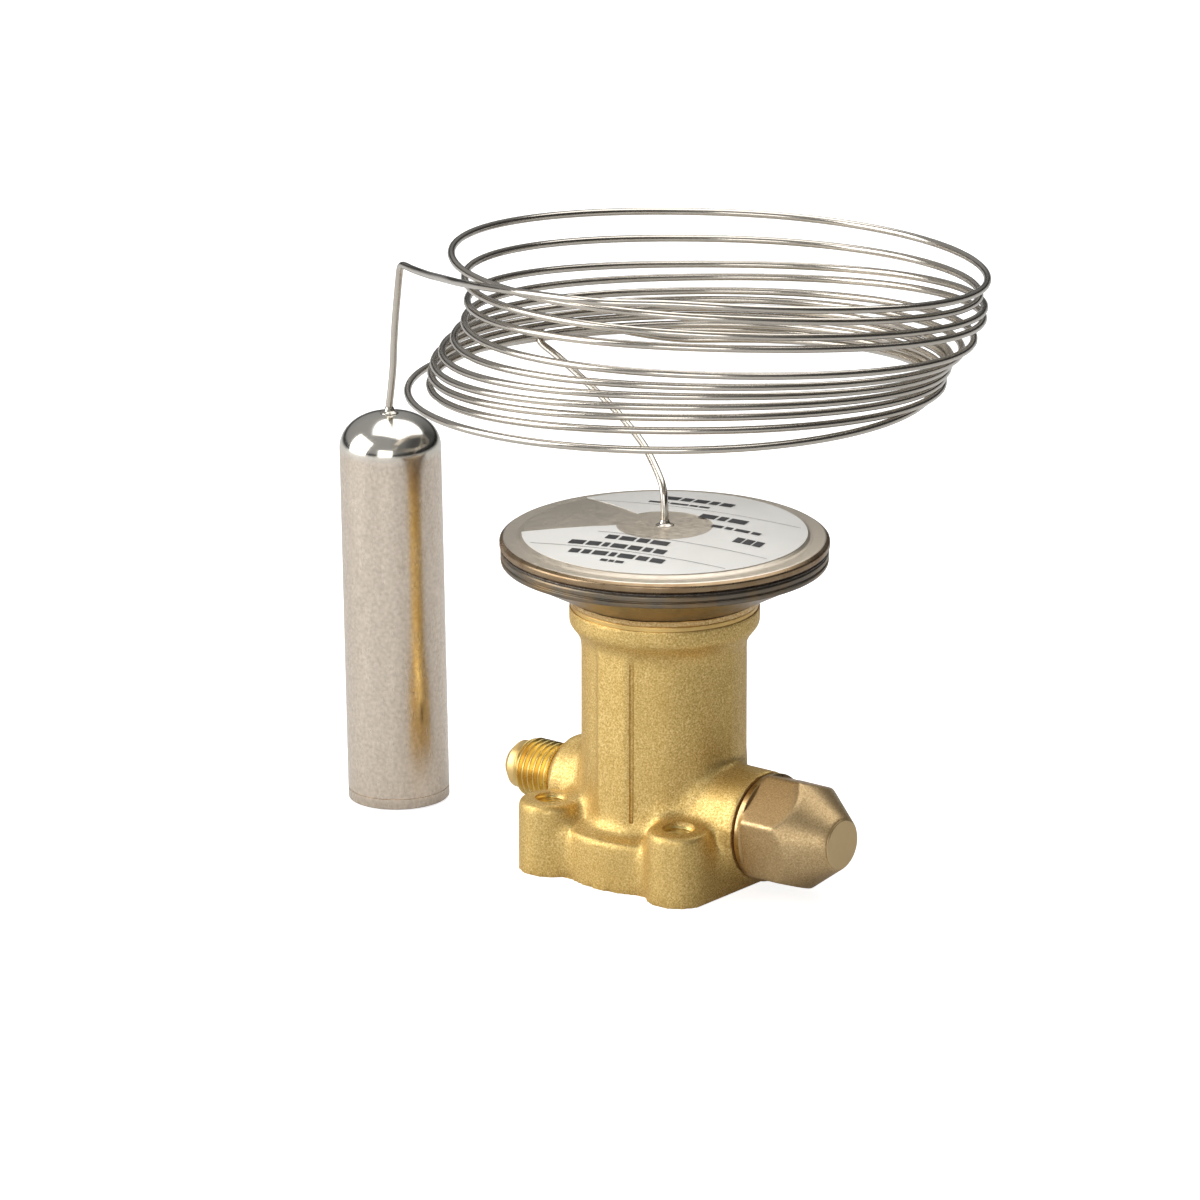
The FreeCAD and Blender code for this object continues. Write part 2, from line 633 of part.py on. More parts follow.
def coil_section(body, side, level, radius):
    """One tilted circle of the coil's ring, shifted to a side of the column's axis."""
    sketch = ring(sketch_on(body, "XY_Plane"), radius)
    way = math.radians(s.coil_way.value)
    sketch.AttachmentOffset = FreeCAD.Placement(V(0, 0, 0), V(-math.cos(way), -math.sin(way), 0), s.coil_tilt.value)
    bind(sketch, "AttachmentOffset.Rotation.Angle", s.coil_tilt)
    sketch.setExpression("AttachmentOffset.Base.x", "%s * cos(Sizes.coil_way * 1 deg)" % side.text)
    sketch.setExpression("AttachmentOffset.Base.y", "%s * sin(Sizes.coil_way * 1 deg)" % side.text)
    bind(sketch, "AttachmentOffset.Base.z", level)
    doc.recompute()
    return sketch


def coil_wall(body, kind, radius):
    feature = body.newObject(kind, kind.split("::")[1])
    feature.Profile = coil_section(body, s.coil_low_side, s.coil_low, radius)
    feature.Sections = [(coil_section(body, s.coil_high_side, s.coil_high, radius), [""])]
    feature.Ruled = True
    doc.recompute()
    return feature


def capillary():
    coil = new_body("capillary_coil")
    coil_wall(coil, "PartDesign::AdditiveLoft", s.coil_outer)
    full = coil.Shape.Volume
    coil_wall(coil, "PartDesign::SubtractiveLoft", s.coil_inner)
    if not coil.Shape.Volume < full:
        raise RuntimeError("the coil's ring is not open")
    start = (0.0, 0.0, (s.crown_rise + s.ferrule_tall).value)
    cord_piece("capillary_head_lead", [start] + HEAD_LEAD[1:], coil, "head_ferrule")
    start = [over_bulb(ZERO), over_bulb(s.lead_rise)]
    cord_piece("capillary_bulb_lead", start + BULB_LEAD, coil, "bulb_ferrule")


def over_bulb(rise):
    """A point on the bulb's axis, at a rise above the bead of solder that the capillary leaves."""
    place = doc.getObject("bulb_ferrule").Placement
    return tuple(place.multVec(V(0, 0, (s.bulb_tall + s.ferrule_tall + rise).value)))


# Push rod and its guide

def rod_pieces():
    pad_top = s.seam_low - s.pad_drop
    cone_low = pad_top - s.pad_plate_thick - s.pad_cone
    pad_low = cone_low - s.pad_rim
    inner = s.rod_radius + s.seat_gap
    turned("thrust_pad", [
        (ZERO, pad_low), (inner, pad_low), (inner, pad_low - s.pad_hub_tall),
        (s.pad_hub, pad_low - s.pad_hub_tall), (s.pad_hub, pad_low), (s.pad_radius, pad_low),
        (s.pad_radius, cone_low), (s.pad_plate, pad_top - s.pad_plate_thick), (s.pad_plate, pad_top),
        (ZERO, pad_top)])
    turned("push_rod", [
        (ZERO, s.rod_tip), (s.rod_radius, s.rod_tip), (s.rod_radius, pad_low), (ZERO, pad_low)])
    slide = s.rod_radius + s.rod_slack
    fit = s.guide_bore - s.seat_gap
    seal_low = s.orifice_deep + s.clip_thick
    seal_top = seal_low + s.seal_thick
    turned("retaining_clip", tube_points(slide + s.clip_thick * 0.7, fit, s.orifice_deep, seal_low))
    turned("rod_seal", tube_points(slide, fit, seal_low, seal_top))
    flange_top = s.floor_top + s.guide_flange_thick
    turned("rod_guide_bush", [
        (slide, seal_top), (fit, seal_top), (fit, s.floor_top), (s.guide_flange, s.floor_top),
        (s.guide_flange, flange_top), (slide, flange_top)])
    turned("thrust_washer", tube_points(
        s.washer_inner, s.washer_outer, s.floor_top, s.floor_top + s.washer_thick))
    return pad_low


# Crown gear, spring seat and spring

def crown_gear():
    """The crown gear: foot, toothed plate and the screw that carries the spring seat."""
    body = new_body("crown_gear")
    foot = s.floor_top + s.washer_thick + s.turn_gap
    pitch = s.spindle_axis + s.gear_module * s.pinion_teeth * 0.5
    root = pitch + s.gear_module * 1.25
    tip = pitch - s.gear_module
    turn(body, outline(sketch_on(body, "XZ_Plane"), [
        (s.crown_foot_bore, foot), (s.crown_hub, foot), (s.crown_hub, root), (s.crown_outer, root),
        (s.crown_outer, root + s.crown_plate), (s.crown_hub, root + s.crown_plate),
        (s.crown_hub, s.crown_screw_end), (s.crown_bore, s.crown_screw_end),
        (s.crown_bore, foot + s.crown_foot_tall), (s.crown_foot_bore, foot + s.crown_foot_tall)]))
    sink = s.gear_module * 0.5
    tooth = pad(body, outline(sketch_on(body, "YZ_Plane", s.crown_inner), [
        (-s.tooth_root, root + sink), (-s.tooth_root, root), (-s.tooth_pitch, pitch), (-s.tooth_tip, tip),
        (s.tooth_tip, tip), (s.tooth_pitch, pitch), (s.tooth_root, root), (s.tooth_root, root + sink)]),
        s.crown_outer - s.crown_inner - s.seat_gap)
    polar(body, tooth, "Z_Axis", s.crown_teeth)
    body.Placement = FreeCAD.Placement(V(0, 0, 0), V(0, 0, 1), 180 / s.crown_teeth.value)
    body.setExpression("Placement.Rotation.Angle", "180 deg / Sizes.crown_teeth")


def spring_seat():
    """The keyed nut under the spring: it climbs the crown gear's screw and cannot turn."""
    body = new_body("spring_seat")
    flange_top = s.seat_low + s.seat_flange_thick
    bore = s.crown_hub + s.screw_slack
    turn(body, outline(sketch_on(body, "XZ_Plane"), [
        (bore, s.seat_low), (s.seat_flange, s.seat_low), (s.seat_flange, flange_top),
        (s.seat_sleeve, flange_top), (s.seat_sleeve, s.seat_low + s.seat_tall),
        (bore, s.seat_low + s.seat_tall)]))
    half = s.key_width * 0.5 - s.key_slack
    tongue = outline(sketch_on(body, "XY_Plane", s.seat_low), [
        (-half, s.seat_sleeve), (half, s.seat_sleeve),
        (half, s.spring_room + s.key_deep - s.key_slack), (-half, s.spring_room + s.key_deep - s.key_slack)])
    pad(body, tongue, s.seat_flange_thick)
    return flange_top


def superheat_spring(low, high):
    """The open coil spring between the seat and the thrust pad."""
    start = low + s.spring_gap + s.wire_radius
    finish = high - s.spring_gap - s.wire_radius
    body = new_body("superheat_spring")
    wire = ring(sketch_on(body, "XZ_Plane"), s.wire_radius, s.spring_radius, start)
    coil = body.newObject("PartDesign::AdditiveHelix", "AdditiveHelix")
    coil.Profile = wire
    coil.ReferenceAxis = (wire, ["V_Axis"])
    coil.Mode = "height-turns-angle"
    bind(coil, "Height", finish - start)
    bind(coil, "Turns", s.spring_turns)
    doc.recompute()


# Setting spindle, gland and cap

def on_spindle_axis(body, degrees=None):
    """Lift a piece that is built along X onto the spindle's axis, turned about it where asked."""
    if degrees is not None:
        body.Placement = FreeCAD.Placement(V(0, 0, 0), V(1, 0, 0), degrees.value)
        bind(body, "Placement.Rotation.Angle", degrees)
    bind(body, "Placement.Base.z", s.spindle_axis)


def setting_spindle():
    body = new_body("setting_spindle")
    gear_end = s.pinion_start + s.pinion_face
    collar = s.gland_step + s.turn_gap
    pitch = s.gear_module * s.pinion_teeth * 0.5
    root = pitch - s.gear_module * 1.25
    turn(body, outline(sketch_on(body, "XY_Plane"), [
        (s.pinion_start, ZERO), (s.pinion_start, root), (gear_end, root), (gear_end, s.neck_thin),
        (collar, s.neck_thin), (collar, s.collar_out), (collar + s.collar_thick, s.collar_out),
        (collar + s.collar_thick, s.spindle_radius), (s.spindle_shaft_end, s.spindle_radius),
        (s.spindle_shaft_end, ZERO)]), "H_Axis")
    half = s.square_flats * 0.5
    square = outline(sketch_on(body, "YZ_Plane", s.spindle_shaft_end), [
        (-half, -half), (half, -half), (half, half), (-half, half)])
    pad(body, square, s.spindle_end - s.spindle_shaft_end)
    tip = pitch + s.gear_module
    sunk = root - s.gear_module * 0.4
    tooth = pad(body, outline(sketch_on(body, "YZ_Plane", s.pinion_start), [
        (-s.tooth_root, sunk), (s.tooth_root, sunk), (s.tooth_root, root), (s.tooth_pitch, pitch),
        (s.tooth_tip, tip), (-s.tooth_tip, tip), (-s.tooth_pitch, pitch), (-s.tooth_root, root)]),
        s.pinion_face)
    polar(body, tooth, "X_Axis", s.pinion_teeth)
    on_spindle_axis(body)


def gland_pieces():
    """Packing ring and gland nut that close the bore round the spindle."""
    inner = s.spindle_radius + s.rod_slack
    outer = s.gland_bore - s.seat_gap
    start = s.gland_step + s.collar_thick + s.turn_gap * 2
    nut = start + s.packing_thick
    end = nut + s.gland_thick
    for label, low, high in (("gland_packing", start, nut), ("gland_nut", nut, end)):
        body = turned(label, [(low, inner), (high, inner), (high, outer), (low, outer)], "H_Axis", "XY_Plane")
        on_spindle_axis(body)
    half = s.gland_slot * 0.5
    slot = outline(sketch_on(body, "YZ_Plane", end), [
        (-s.gland_bore, -half), (s.gland_bore, -half), (s.gland_bore, half), (-s.gland_bore, half)])
    pocket(body, slot, s.gland_slot_deep)


def seal_cap():
    """Hexagon cap with a round sealing face and a cone that fades into its flats."""
    gasket_end = s.boss_end + s.gasket_thick
    gasket = turned("cap_gasket", [
        (s.boss_end, s.gasket_inner), (gasket_end, s.gasket_inner),
        (gasket_end, s.gasket_outer), (s.boss_end, s.gasket_outer)], "H_Axis", "XY_Plane")
    on_spindle_axis(gasket)
    body = new_body("seal_cap")
    hexagon = sketch_on(body, "YZ_Plane", gasket_end)
    corner = s.cap_flats / math.sqrt(3)
    outline(hexagon, [(corner * math.cos(math.radians(60 * k)), corner * math.sin(math.radians(60 * k)))
                      for k in range(6)])
    pad(body, hexagon, s.cap_end - gasket_end)
    over = corner + 1.0
    washer_end = gasket_end + s.cap_washer_thick
    lift = corner - s.cap_washer
    groove(body, outline(sketch_on(body, "XY_Plane"), [
        (gasket_end, s.cap_washer), (washer_end, s.cap_washer), (washer_end + lift * 0.6, corner),
        (washer_end + lift * 0.6, over), (gasket_end, over)]), "H_Axis")
    groove(body, outline(sketch_on(body, "XY_Plane"), [
        (s.cap_cone_start, s.cap_cone_radius), (s.cap_end, s.cap_nose), (s.cap_end, over),
        (s.cap_cone_start - (over - s.cap_cone_radius) * s.cap_cone_run, over)]), "H_Axis")
    bore = s.spigot_radius + s.rod_slack
    groove(body, outline(sketch_on(body, "XY_Plane"), [
        (gasket_end, ZERO), (gasket_end, bore), (s.cap_bore_end, bore),
        (s.cap_bore_end, s.cap_relief_radius), (s.cap_relief_end, s.cap_relief_radius),
        (s.cap_relief_end, ZERO)]), "H_Axis")
    on_spindle_axis(body, s.cap_rest_angle)


# Build, check and write

valve_body()
lower_shell()
upper_shell()
head_pieces()
head_label()
bulb()
capillary()
spring_top = rod_pieces()
crown_gear()
spring_foot = spring_seat()
superheat_spring(spring_foot, spring_top)
setting_spindle()
gland_pieces()
seal_cap()
doc.recompute()

for item in doc.Objects:
    for word in ("Invalid", "Error"):
        if word in item.State:
            raise RuntimeError("%s is %s" % (item.Label, item.State))
for item in nodes:
    if item.Shape.isNull() or not item.Shape.isValid():
        raise RuntimeError("%s has no valid shape" % item.Label)
    if len(item.Shape.Solids) != 1:
        raise RuntimeError("%s has %d solids" % (item.Label, len(item.Shape.Solids)))

os.makedirs("parts", exist_ok=True)
for item in nodes:
    item.Shape.exportStep("parts/%s.step" % item.Label)
    print("%-22s %10.1f mm3" % (item.Label, item.Shape.Volume))
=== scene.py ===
"""Looks of the expansion valve unit: cast body, diaphragm head, bulb and the loose coil of capillary.

Sizes are in millimetres, in the CAD frame, and become metres where a mesh or curve is made.
"""
import json
import math

import bpy
import numpy as np
from mathutils import Matrix, Vector


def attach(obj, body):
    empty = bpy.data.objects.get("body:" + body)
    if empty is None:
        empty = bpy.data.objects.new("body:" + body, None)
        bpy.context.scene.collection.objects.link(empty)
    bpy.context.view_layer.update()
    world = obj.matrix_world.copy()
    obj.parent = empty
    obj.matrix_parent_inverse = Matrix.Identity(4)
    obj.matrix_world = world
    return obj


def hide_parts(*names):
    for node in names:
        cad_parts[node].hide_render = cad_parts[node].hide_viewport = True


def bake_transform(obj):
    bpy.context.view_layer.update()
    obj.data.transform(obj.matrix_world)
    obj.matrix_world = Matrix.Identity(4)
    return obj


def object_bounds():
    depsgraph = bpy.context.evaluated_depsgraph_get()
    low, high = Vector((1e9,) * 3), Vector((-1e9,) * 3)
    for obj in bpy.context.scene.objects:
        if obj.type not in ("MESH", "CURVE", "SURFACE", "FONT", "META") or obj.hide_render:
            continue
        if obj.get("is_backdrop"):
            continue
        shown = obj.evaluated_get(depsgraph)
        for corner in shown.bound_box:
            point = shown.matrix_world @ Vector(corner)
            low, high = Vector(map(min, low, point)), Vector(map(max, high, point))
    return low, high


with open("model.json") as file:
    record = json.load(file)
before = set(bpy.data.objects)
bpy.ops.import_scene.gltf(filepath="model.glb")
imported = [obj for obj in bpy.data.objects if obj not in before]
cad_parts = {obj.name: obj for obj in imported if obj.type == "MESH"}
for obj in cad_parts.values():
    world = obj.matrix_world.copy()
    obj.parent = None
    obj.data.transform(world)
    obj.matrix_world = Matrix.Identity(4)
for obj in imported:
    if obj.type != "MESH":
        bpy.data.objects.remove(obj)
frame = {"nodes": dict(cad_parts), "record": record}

MM = 0.001
TURN = 2 * math.pi
size_at_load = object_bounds()
record = frame["record"]


# Meshes

ON_AXIS = 1e-6


def link(obj):
    bpy.context.scene.collection.objects.link(obj)
    return obj


def shade(mesh, sharp=35.0):
    """Shade a mesh smooth, with edges sharper than an angle kept crisp."""
    mesh.shade_smooth()
    mesh.set_sharp_from_angle(angle=math.radians(sharp))


def mesh_piece(name, points, faces, sharp=35.0, place=None):
    """A smooth-shaded mesh from points in millimetres."""
    mesh = bpy.data.meshes.new(name)
    points = np.asarray(points, dtype=float) * MM
    mesh.from_pydata(points.tolist(), [], faces)
    if place is not None:
        mesh.transform(place)
    mesh.update()
    shade(mesh, sharp)
    return link(bpy.data.objects.new(name, mesh))


def coordinates(mesh):
    """A mesh's points in metres, one row for each."""
    flat = np.empty(len(mesh.vertices) * 3)
    mesh.vertices.foreach_get("co", flat)
    return flat.reshape(-1, 3)


def move_points(mesh, points):
    """Put a mesh's points at places given in millimetres."""
    mesh.vertices.foreach_set("co", (points * MM).ravel())
    mesh.update()


def grid_quads(rows, columns, closed_rows=False, closed_columns=True):
    """The corners of each cell in a grid of points: here, next along, next along and up, and up."""
    quads = []
    for row in range(rows if closed_rows else rows - 1):
        up = (row + 1) % rows
        for column in range(columns if closed_columns else columns - 1):
            along = (column + 1) % columns
            quads.append((row * columns + column, row * columns + along,
                          up * columns + along, up * columns + column))
    return quads


def rounded(profile, steps=5):
    """An open profile of (radius, height[, round]) points, with the round corners filled in."""
    out = []
    for number, point in enumerate(profile):
        if len(point) < 3 or number in (0, len(profile) - 1):
            out.append(point[:2])
            continue
        corner = Vector(point[:2])
        before = Vector(profile[number - 1][:2]) - corner
        after = Vector(profile[number + 1][:2]) - corner
        half = before.angle(after) / 2
        back = min(point[2] / math.tan(half), 0.49 * before.length, 0.49 * after.length)
        first = corner + before.normalized() * back
        last = corner + after.normalized() * back
        for step in range(steps + 1):
            t = step / steps
            out.append(tuple(first * (1 - t) ** 2 + corner * (2 * t * (1 - t)) + last * t ** 2))
    return out


def lathe(name, profile, steps=160, axis="Z", place=None, closed=False, sharp=35.0):
    """A profile of (radius, height) turned about an axis. Ends on the axis are closed to a point."""
    rows = []
    points = []
    for radius, height in rounded(profile):
        if radius < ON_AXIS:
            rows.append([len(points)] * steps)
            points.append((0.0, 0.0, height))
        else:
            rows.append(list(range(len(points), len(points) + steps)))
            points += [(radius * math.cos(TURN * k / steps), radius * math.sin(TURN * k / steps), height)
                       for k in range(steps)]
    if closed:
        rows.append(rows[0])
    faces = []
    for low, high in zip(rows, rows[1:]):
        for k in range(steps):
            j = (k + 1) % steps
            face = []
            for corner in (low[k], low[j], high[j], high[k]):
                if corner not in face:
                    face.append(corner)
            if len(face) > 2:
                faces.append(tuple(face))
    if axis == "X":
        points = [(z, x, y) for x, y, z in points]
    return mesh_piece(name, points, faces, sharp, place)


def moved(x, y, z):
    """A shift in millimetres."""
    return Matrix.Translation((x * MM, y * MM, z * MM))


def upright(radius, low, high, centre=(0, 0), steps=64):
    """A plain cylinder along Z, used to fill or to cut."""
    profile = [(0, low), (radius, low), (radius, high), (0, high)]
    return lathe("tool", profile, steps, "Z", moved(*centre, 0))


def across(radius, low, high, z, steps=64):
    """A plain cylinder along X, at a height, used to fill or to cut."""
    profile = [(0, low), (radius, low), (radius, high), (0, high)]
    return lathe("tool", profile, steps, "X", moved(0, 0, z))


def block(low, high):
    """A plain box between two corners, used to cut."""
    points = [(x, y, z) for x in (low[0], high[0]) for y in (low[1], high[1]) for z in (low[2], high[2])]
    faces = [(0, 1, 3, 2), (4, 6, 7, 5), (0, 4, 5, 1), (2, 3, 7, 6), (0, 2, 6, 4), (1, 5, 7, 3)]
    return mesh_piece("tool", points, faces)


def uneven_ring(name, steps, section, sharp):
    """A closed ring whose outline, a list of (radius, height), is worked out at each angle."""
    points = []
    for k in range(steps):
        angle = TURN * k / steps
        points += [(radius * math.cos(angle), radius * math.sin(angle), height)
                   for radius, height in section(angle)]
    quads = grid_quads(steps, len(points) // steps, closed_rows=True)
    return mesh_piece(name, points, [(a, d, c, b) for a, b, c, d in quads], sharp)


def applied(obj):
    """Turn an object's modifiers into its mesh."""
    bpy.context.view_layer.update()
    mesh = bpy.data.meshes.new_from_object(obj.evaluated_get(bpy.context.evaluated_depsgraph_get()))
    obj.modifiers.clear()
    obj.data = mesh
    return obj


def copy_of(node):
    """A copy of a CAD node's mesh, without its materials."""
    mesh = frame["nodes"][node].data.copy()
    mesh.materials.clear()
    return link(bpy.data.objects.new(node + "_copy", mesh))


def joined(name, parts):
    """One mesh from several closed ones that may run through each other. The parts are used up."""
    points, faces, start = [], [], 0
    for part in parts:
        points.append(coordinates(part.data))
        faces += [tuple(start + v for v in face.vertices) for face in part.data.polygons]
        start += len(part.data.vertices)
    mesh = bpy.data.meshes.new(name)
    mesh.from_pydata(np.concatenate(points).tolist(), [], faces)
    for part in parts:
        bpy.data.objects.remove(part)
    return link(bpy.data.objects.new(name, mesh))


def cut(obj, tools):
    """Take closed shapes away from a closed mesh. The tools are used up."""
    for tool in tools:
        modifier = obj.modifiers.new("cut", "BOOLEAN")
        modifier.operation = "DIFFERENCE"
        modifier.solver = "MANIFOLD"
        modifier.object = tool
    applied(obj)
    for tool in tools:
        bpy.data.objects.remove(tool)


def remeshed(obj, size):
    """Give a mesh one even skin, with faces of a given size."""
    modifier = obj.modifiers.new("skin", "REMESH")
    modifier.mode = "VOXEL"
    modifier.voxel_size = size * MM
    applied(obj)


PULL = 0.55
NORMALS_EVERY = 8
CALM_AFTER = 12
LAST_ROUNDS = 4


def soften(obj, hollow_rounds, edge_rounds, hold, calm=None):
    """Round a cast shape: inner corners fill up over many rounds, outer edges wear over a few.

    hold gives the points that stay, and calm those whose inner corners fill only a little.
    """
    mesh = obj.data
    count = len(mesh.vertices)
    points = coordinates(mesh) / MM
    edges = np.empty(len(mesh.edges) * 2, dtype=np.int64)
    mesh.edges.foreach_get("vertices", edges)
    edges = edges.reshape(-1, 2)
    ends = np.concatenate([edges[:, 0], edges[:, 1]])
    others = np.concatenate([edges[:, 1], edges[:, 0]])
    degree = np.maximum(np.bincount(ends, minlength=count), 1)[:, None]
    triangles = []
    for face in mesh.polygons:
        v = face.vertices
        triangles += [(v[0], v[k], v[k + 1]) for k in range(1, len(v) - 1)]
    triangles = np.array(triangles)
    free = 1.0 - hold(points)
    quiet = np.zeros(count) if calm is None else calm(points)

    def step_to_mean():
        """The way from each point to the mean of its neighbours."""
        sums = [np.bincount(ends, weights=points[others, k], minlength=count) for k in range(3)]
        return np.stack(sums, 1) / degree - points

    def normals():
        a, b, c = (points[triangles[:, k]] for k in range(3))
        face = np.cross(b - a, c - a)
        out = np.zeros((count, 3))
        for k in range(3):
            for axis in range(3):
                out[:, axis] += np.bincount(triangles[:, k], weights=face[:, axis], minlength=count)
        return out / np.maximum(np.linalg.norm(out, axis=1), 1e-12)[:, None]

    for number in range(hollow_rounds):
        if number % NORMALS_EVERY == 0:
            up = normals()
        step = step_to_mean()
        lift = np.einsum("ij,ij->i", step, up)
        share = np.where(lift > 0, PULL, PULL if number < edge_rounds else 0.0)
        if number > CALM_AFTER:
            share = share * (1.0 - quiet)
        points = points + step * (share * free)[:, None]
    for number in range(LAST_ROUNDS):
        step = step_to_mean()
        points = points + step * ((0.5 if number % 2 == 0 else -0.5) * free)[:, None]
    move_points(mesh, points)


# Materials. Colours are written as 0 to 255.

MIX_FACTOR = 0
VALUE_A, VALUE_B, VALUE_OUT = 2, 3, 0
COLOUR_A, COLOUR_B, COLOUR_OUT = 6, 7, 2
GRAIN = 3200
DENTS = 420
CLOUDS = 95


def linear(red, green, blue):
    """The linear value of a written colour."""
    def channel(value):
        value /= 255
        return value / 12.92 if value <= 0.04045 else ((value + 0.055) / 1.055) ** 2.4
    return (channel(red), channel(green), channel(blue), 1.0)


def fill_ramp(item, stops):
    """Give a colour ramp its stops, each a place and a linear colour."""
    elements = item.color_ramp.elements
    while len(elements) < len(stops):
        elements.new(0.5)
    for element, (at, colour) in zip(elements, stops):
        element.position = at
        element.color = colour


def map_range(tree, value, low, high, to_low, to_high):
    """Map one span of values to another."""
    item = tree.nodes.new("ShaderNodeMapRange")
    tree.links.new(value, item.inputs["Value"])
    for socket, number in (("From Min", low), ("From Max", high), ("To Min", to_low), ("To Max", to_high)):
        item.inputs[socket].default_value = number
    return item.outputs["Result"]


class Finish:
    """A small builder for procedural node materials."""

    def __init__(self, name, metallic, roughness):
        self.material = bpy.data.materials.new(name)
        self.material.use_nodes = True
        self.tree = self.material.node_tree
        self.shader = self.tree.nodes["Principled BSDF"]
        self.shader.inputs["Metallic"].default_value = metallic
        self.shader.inputs["Roughness"].default_value = roughness
        self.place = self.tree.nodes.new("ShaderNodeTexCoord").outputs["Object"]

    def node(self, kind, **values):
        item = self.tree.nodes.new(kind)
        for key, value in values.items():
            setattr(item, key, value)
        return item

    def set(self, socket, value):
        """Feed a socket from another node's output, or with a written colour or a number."""
        if isinstance(value, bpy.types.NodeSocket):
            self.tree.links.new(value, socket)
        elif isinstance(value, tuple):
            socket.default_value = linear(*value)
        else:
            socket.default_value = value

    def noise(self, scale, detail=2.0, roughness=0.5, stretch=None):
        item = self.node("ShaderNodeTexNoise")
        item.inputs["Scale"].default_value = scale
        item.inputs["Detail"].default_value = detail
        item.inputs["Roughness"].default_value = roughness
        place = self.place
        if stretch is not None:
            mapping = self.node("ShaderNodeMapping")
            self.set(mapping.inputs["Vector"], place)
            mapping.inputs["Scale"].default_value = stretch
            place = mapping.outputs["Vector"]
        self.set(item.inputs["Vector"], place)
        return item.outputs["Fac"]

    def ramp(self, factor, stops):
        """Colours at given places of a factor between 0 and 1."""
        item = self.node("ShaderNodeValToRGB")
        self.set(item.inputs["Fac"], factor)
        fill_ramp(item, [(at, linear(*colour)) for at, colour in stops])
        return item.outputs["Color"]

    def spread(self, value, low, high, to_low=0.0, to_high=1.0):
        return map_range(self.tree, value, low, high, to_low, to_high)

    def mix(self, factor, first, second):
        """Mix two colours."""
        item = self.node("ShaderNodeMix", data_type="RGBA")
        self.set(item.inputs[MIX_FACTOR], factor)
        self.set(item.inputs[COLOUR_A], first)
        self.set(item.inputs[COLOUR_B], second)
        return item.outputs[COLOUR_OUT]

    def mix_value(self, factor, first, second):
        """Mix two plain values."""
        item = self.node("ShaderNodeMix", data_type="FLOAT")
        self.set(item.inputs[MIX_FACTOR], factor)
        self.set(item.inputs[VALUE_A], first)
        self.set(item.inputs[VALUE_B], second)
        return item.outputs[VALUE_OUT]

    def height(self):
        item = self.node("ShaderNodeSeparateXYZ")
        self.set(item.inputs[0], self.place)
        return item.outputs["Z"]

    def colour(self, value):
        self.set(self.shader.inputs["Base Color"], value)

    def rough(self, value):
        self.set(self.shader.inputs["Roughness"], value)

    def bump(self, value, depth, strength=1.0):
        """Add a relief of a given depth to what the surface already has."""
        item = self.node("ShaderNodeBump")
        item.inputs["Strength"].default_value = strength
        item.inputs["Distance"].default_value = depth * MM
        self.set(item.inputs["Height"], value)
        if self.shader.inputs["Normal"].is_linked:
            self.set(item.inputs["Normal"], self.shader.inputs["Normal"].links[0].from_socket)
        self.set(self.shader.inputs["Normal"], item.outputs["Normal"])


def cast(name, dark, main, light, depth=0.05, metallic=0.85, roughness=0.42):
    """Sand-cast or forged metal: a fine grain with sparkle, and soft clouds over it."""
    finish = Finish(name, metallic, roughness)
    grain = finish.noise(GRAIN, 2.0, 0.65)
    clouds = finish.noise(CLOUDS, 3.0, 0.55)
    base = finish.ramp(grain, [(0.30, dark), (0.5, main), (0.68, light)])
    finish.colour(finish.mix(finish.spread(clouds, 0.35, 0.75, 0.0, 0.28), base, dark))
    finish.rough(finish.spread(grain, 0.3, 0.7, roughness + 0.10, roughness - 0.08))
    finish.bump(grain, depth)
    finish.bump(finish.noise(DENTS, 2.0), depth * 1.6, 0.6)
    return finish.material


def machined(name, colour, roughness, spots=None):
    """Turned or drawn metal: a plain colour with fine uneven gloss, and spots of another where given."""
    finish = Finish(name, 1.0, roughness)
    fine = finish.noise(900, 2.0)
    if spots is None:
        finish.colour(colour)
    else:
        finish.colour(finish.mix(finish.spread(finish.noise(160, 3.0), 0.45, 0.72), colour, spots))
    finish.rough(finish.spread(fine, 0.3, 0.7, roughness * 0.85, roughness * 1.2))
    finish.bump(fine, 0.006)
    return finish.material


def speckled(name, metallic, roughness, scale, detail, first, second):
    """Film, ink or rubber: two close shades in soft spots."""
    finish = Finish(name, metallic, roughness)
    finish.colour(finish.ramp(finish.noise(scale, detail), [first, second]))
    return finish.material


def bulb_material():
    """Drawn nickel: satin sides with faint spots, a polished dome, and the foot a little darker from the
    weld down.
    """
    finish = Finish("nickel bulb", 1.0, 0.3)
    height = finish.height()
    side = finish.ramp(finish.noise(1500, 2.0), [(0.3, (212, 199, 183)), (0.7, (236, 222, 206))])
    dome = finish.spread(height, 67.5 * MM, 69.5 * MM)
    base = finish.spread(height, 2.2 * MM, 1.6 * MM, 0.0, 0.12)
    finish.colour(finish.mix(base, finish.mix(dome, side, (232, 228, 218)), (120, 108, 92)))
    satin = finish.spread(finish.noise(700, 2.0, stretch=(1, 1, 0.25)), 0.3, 0.7, 0.20, 0.30)
    finish.rough(finish.mix_value(dome, satin, 0.15))
    return finish.material


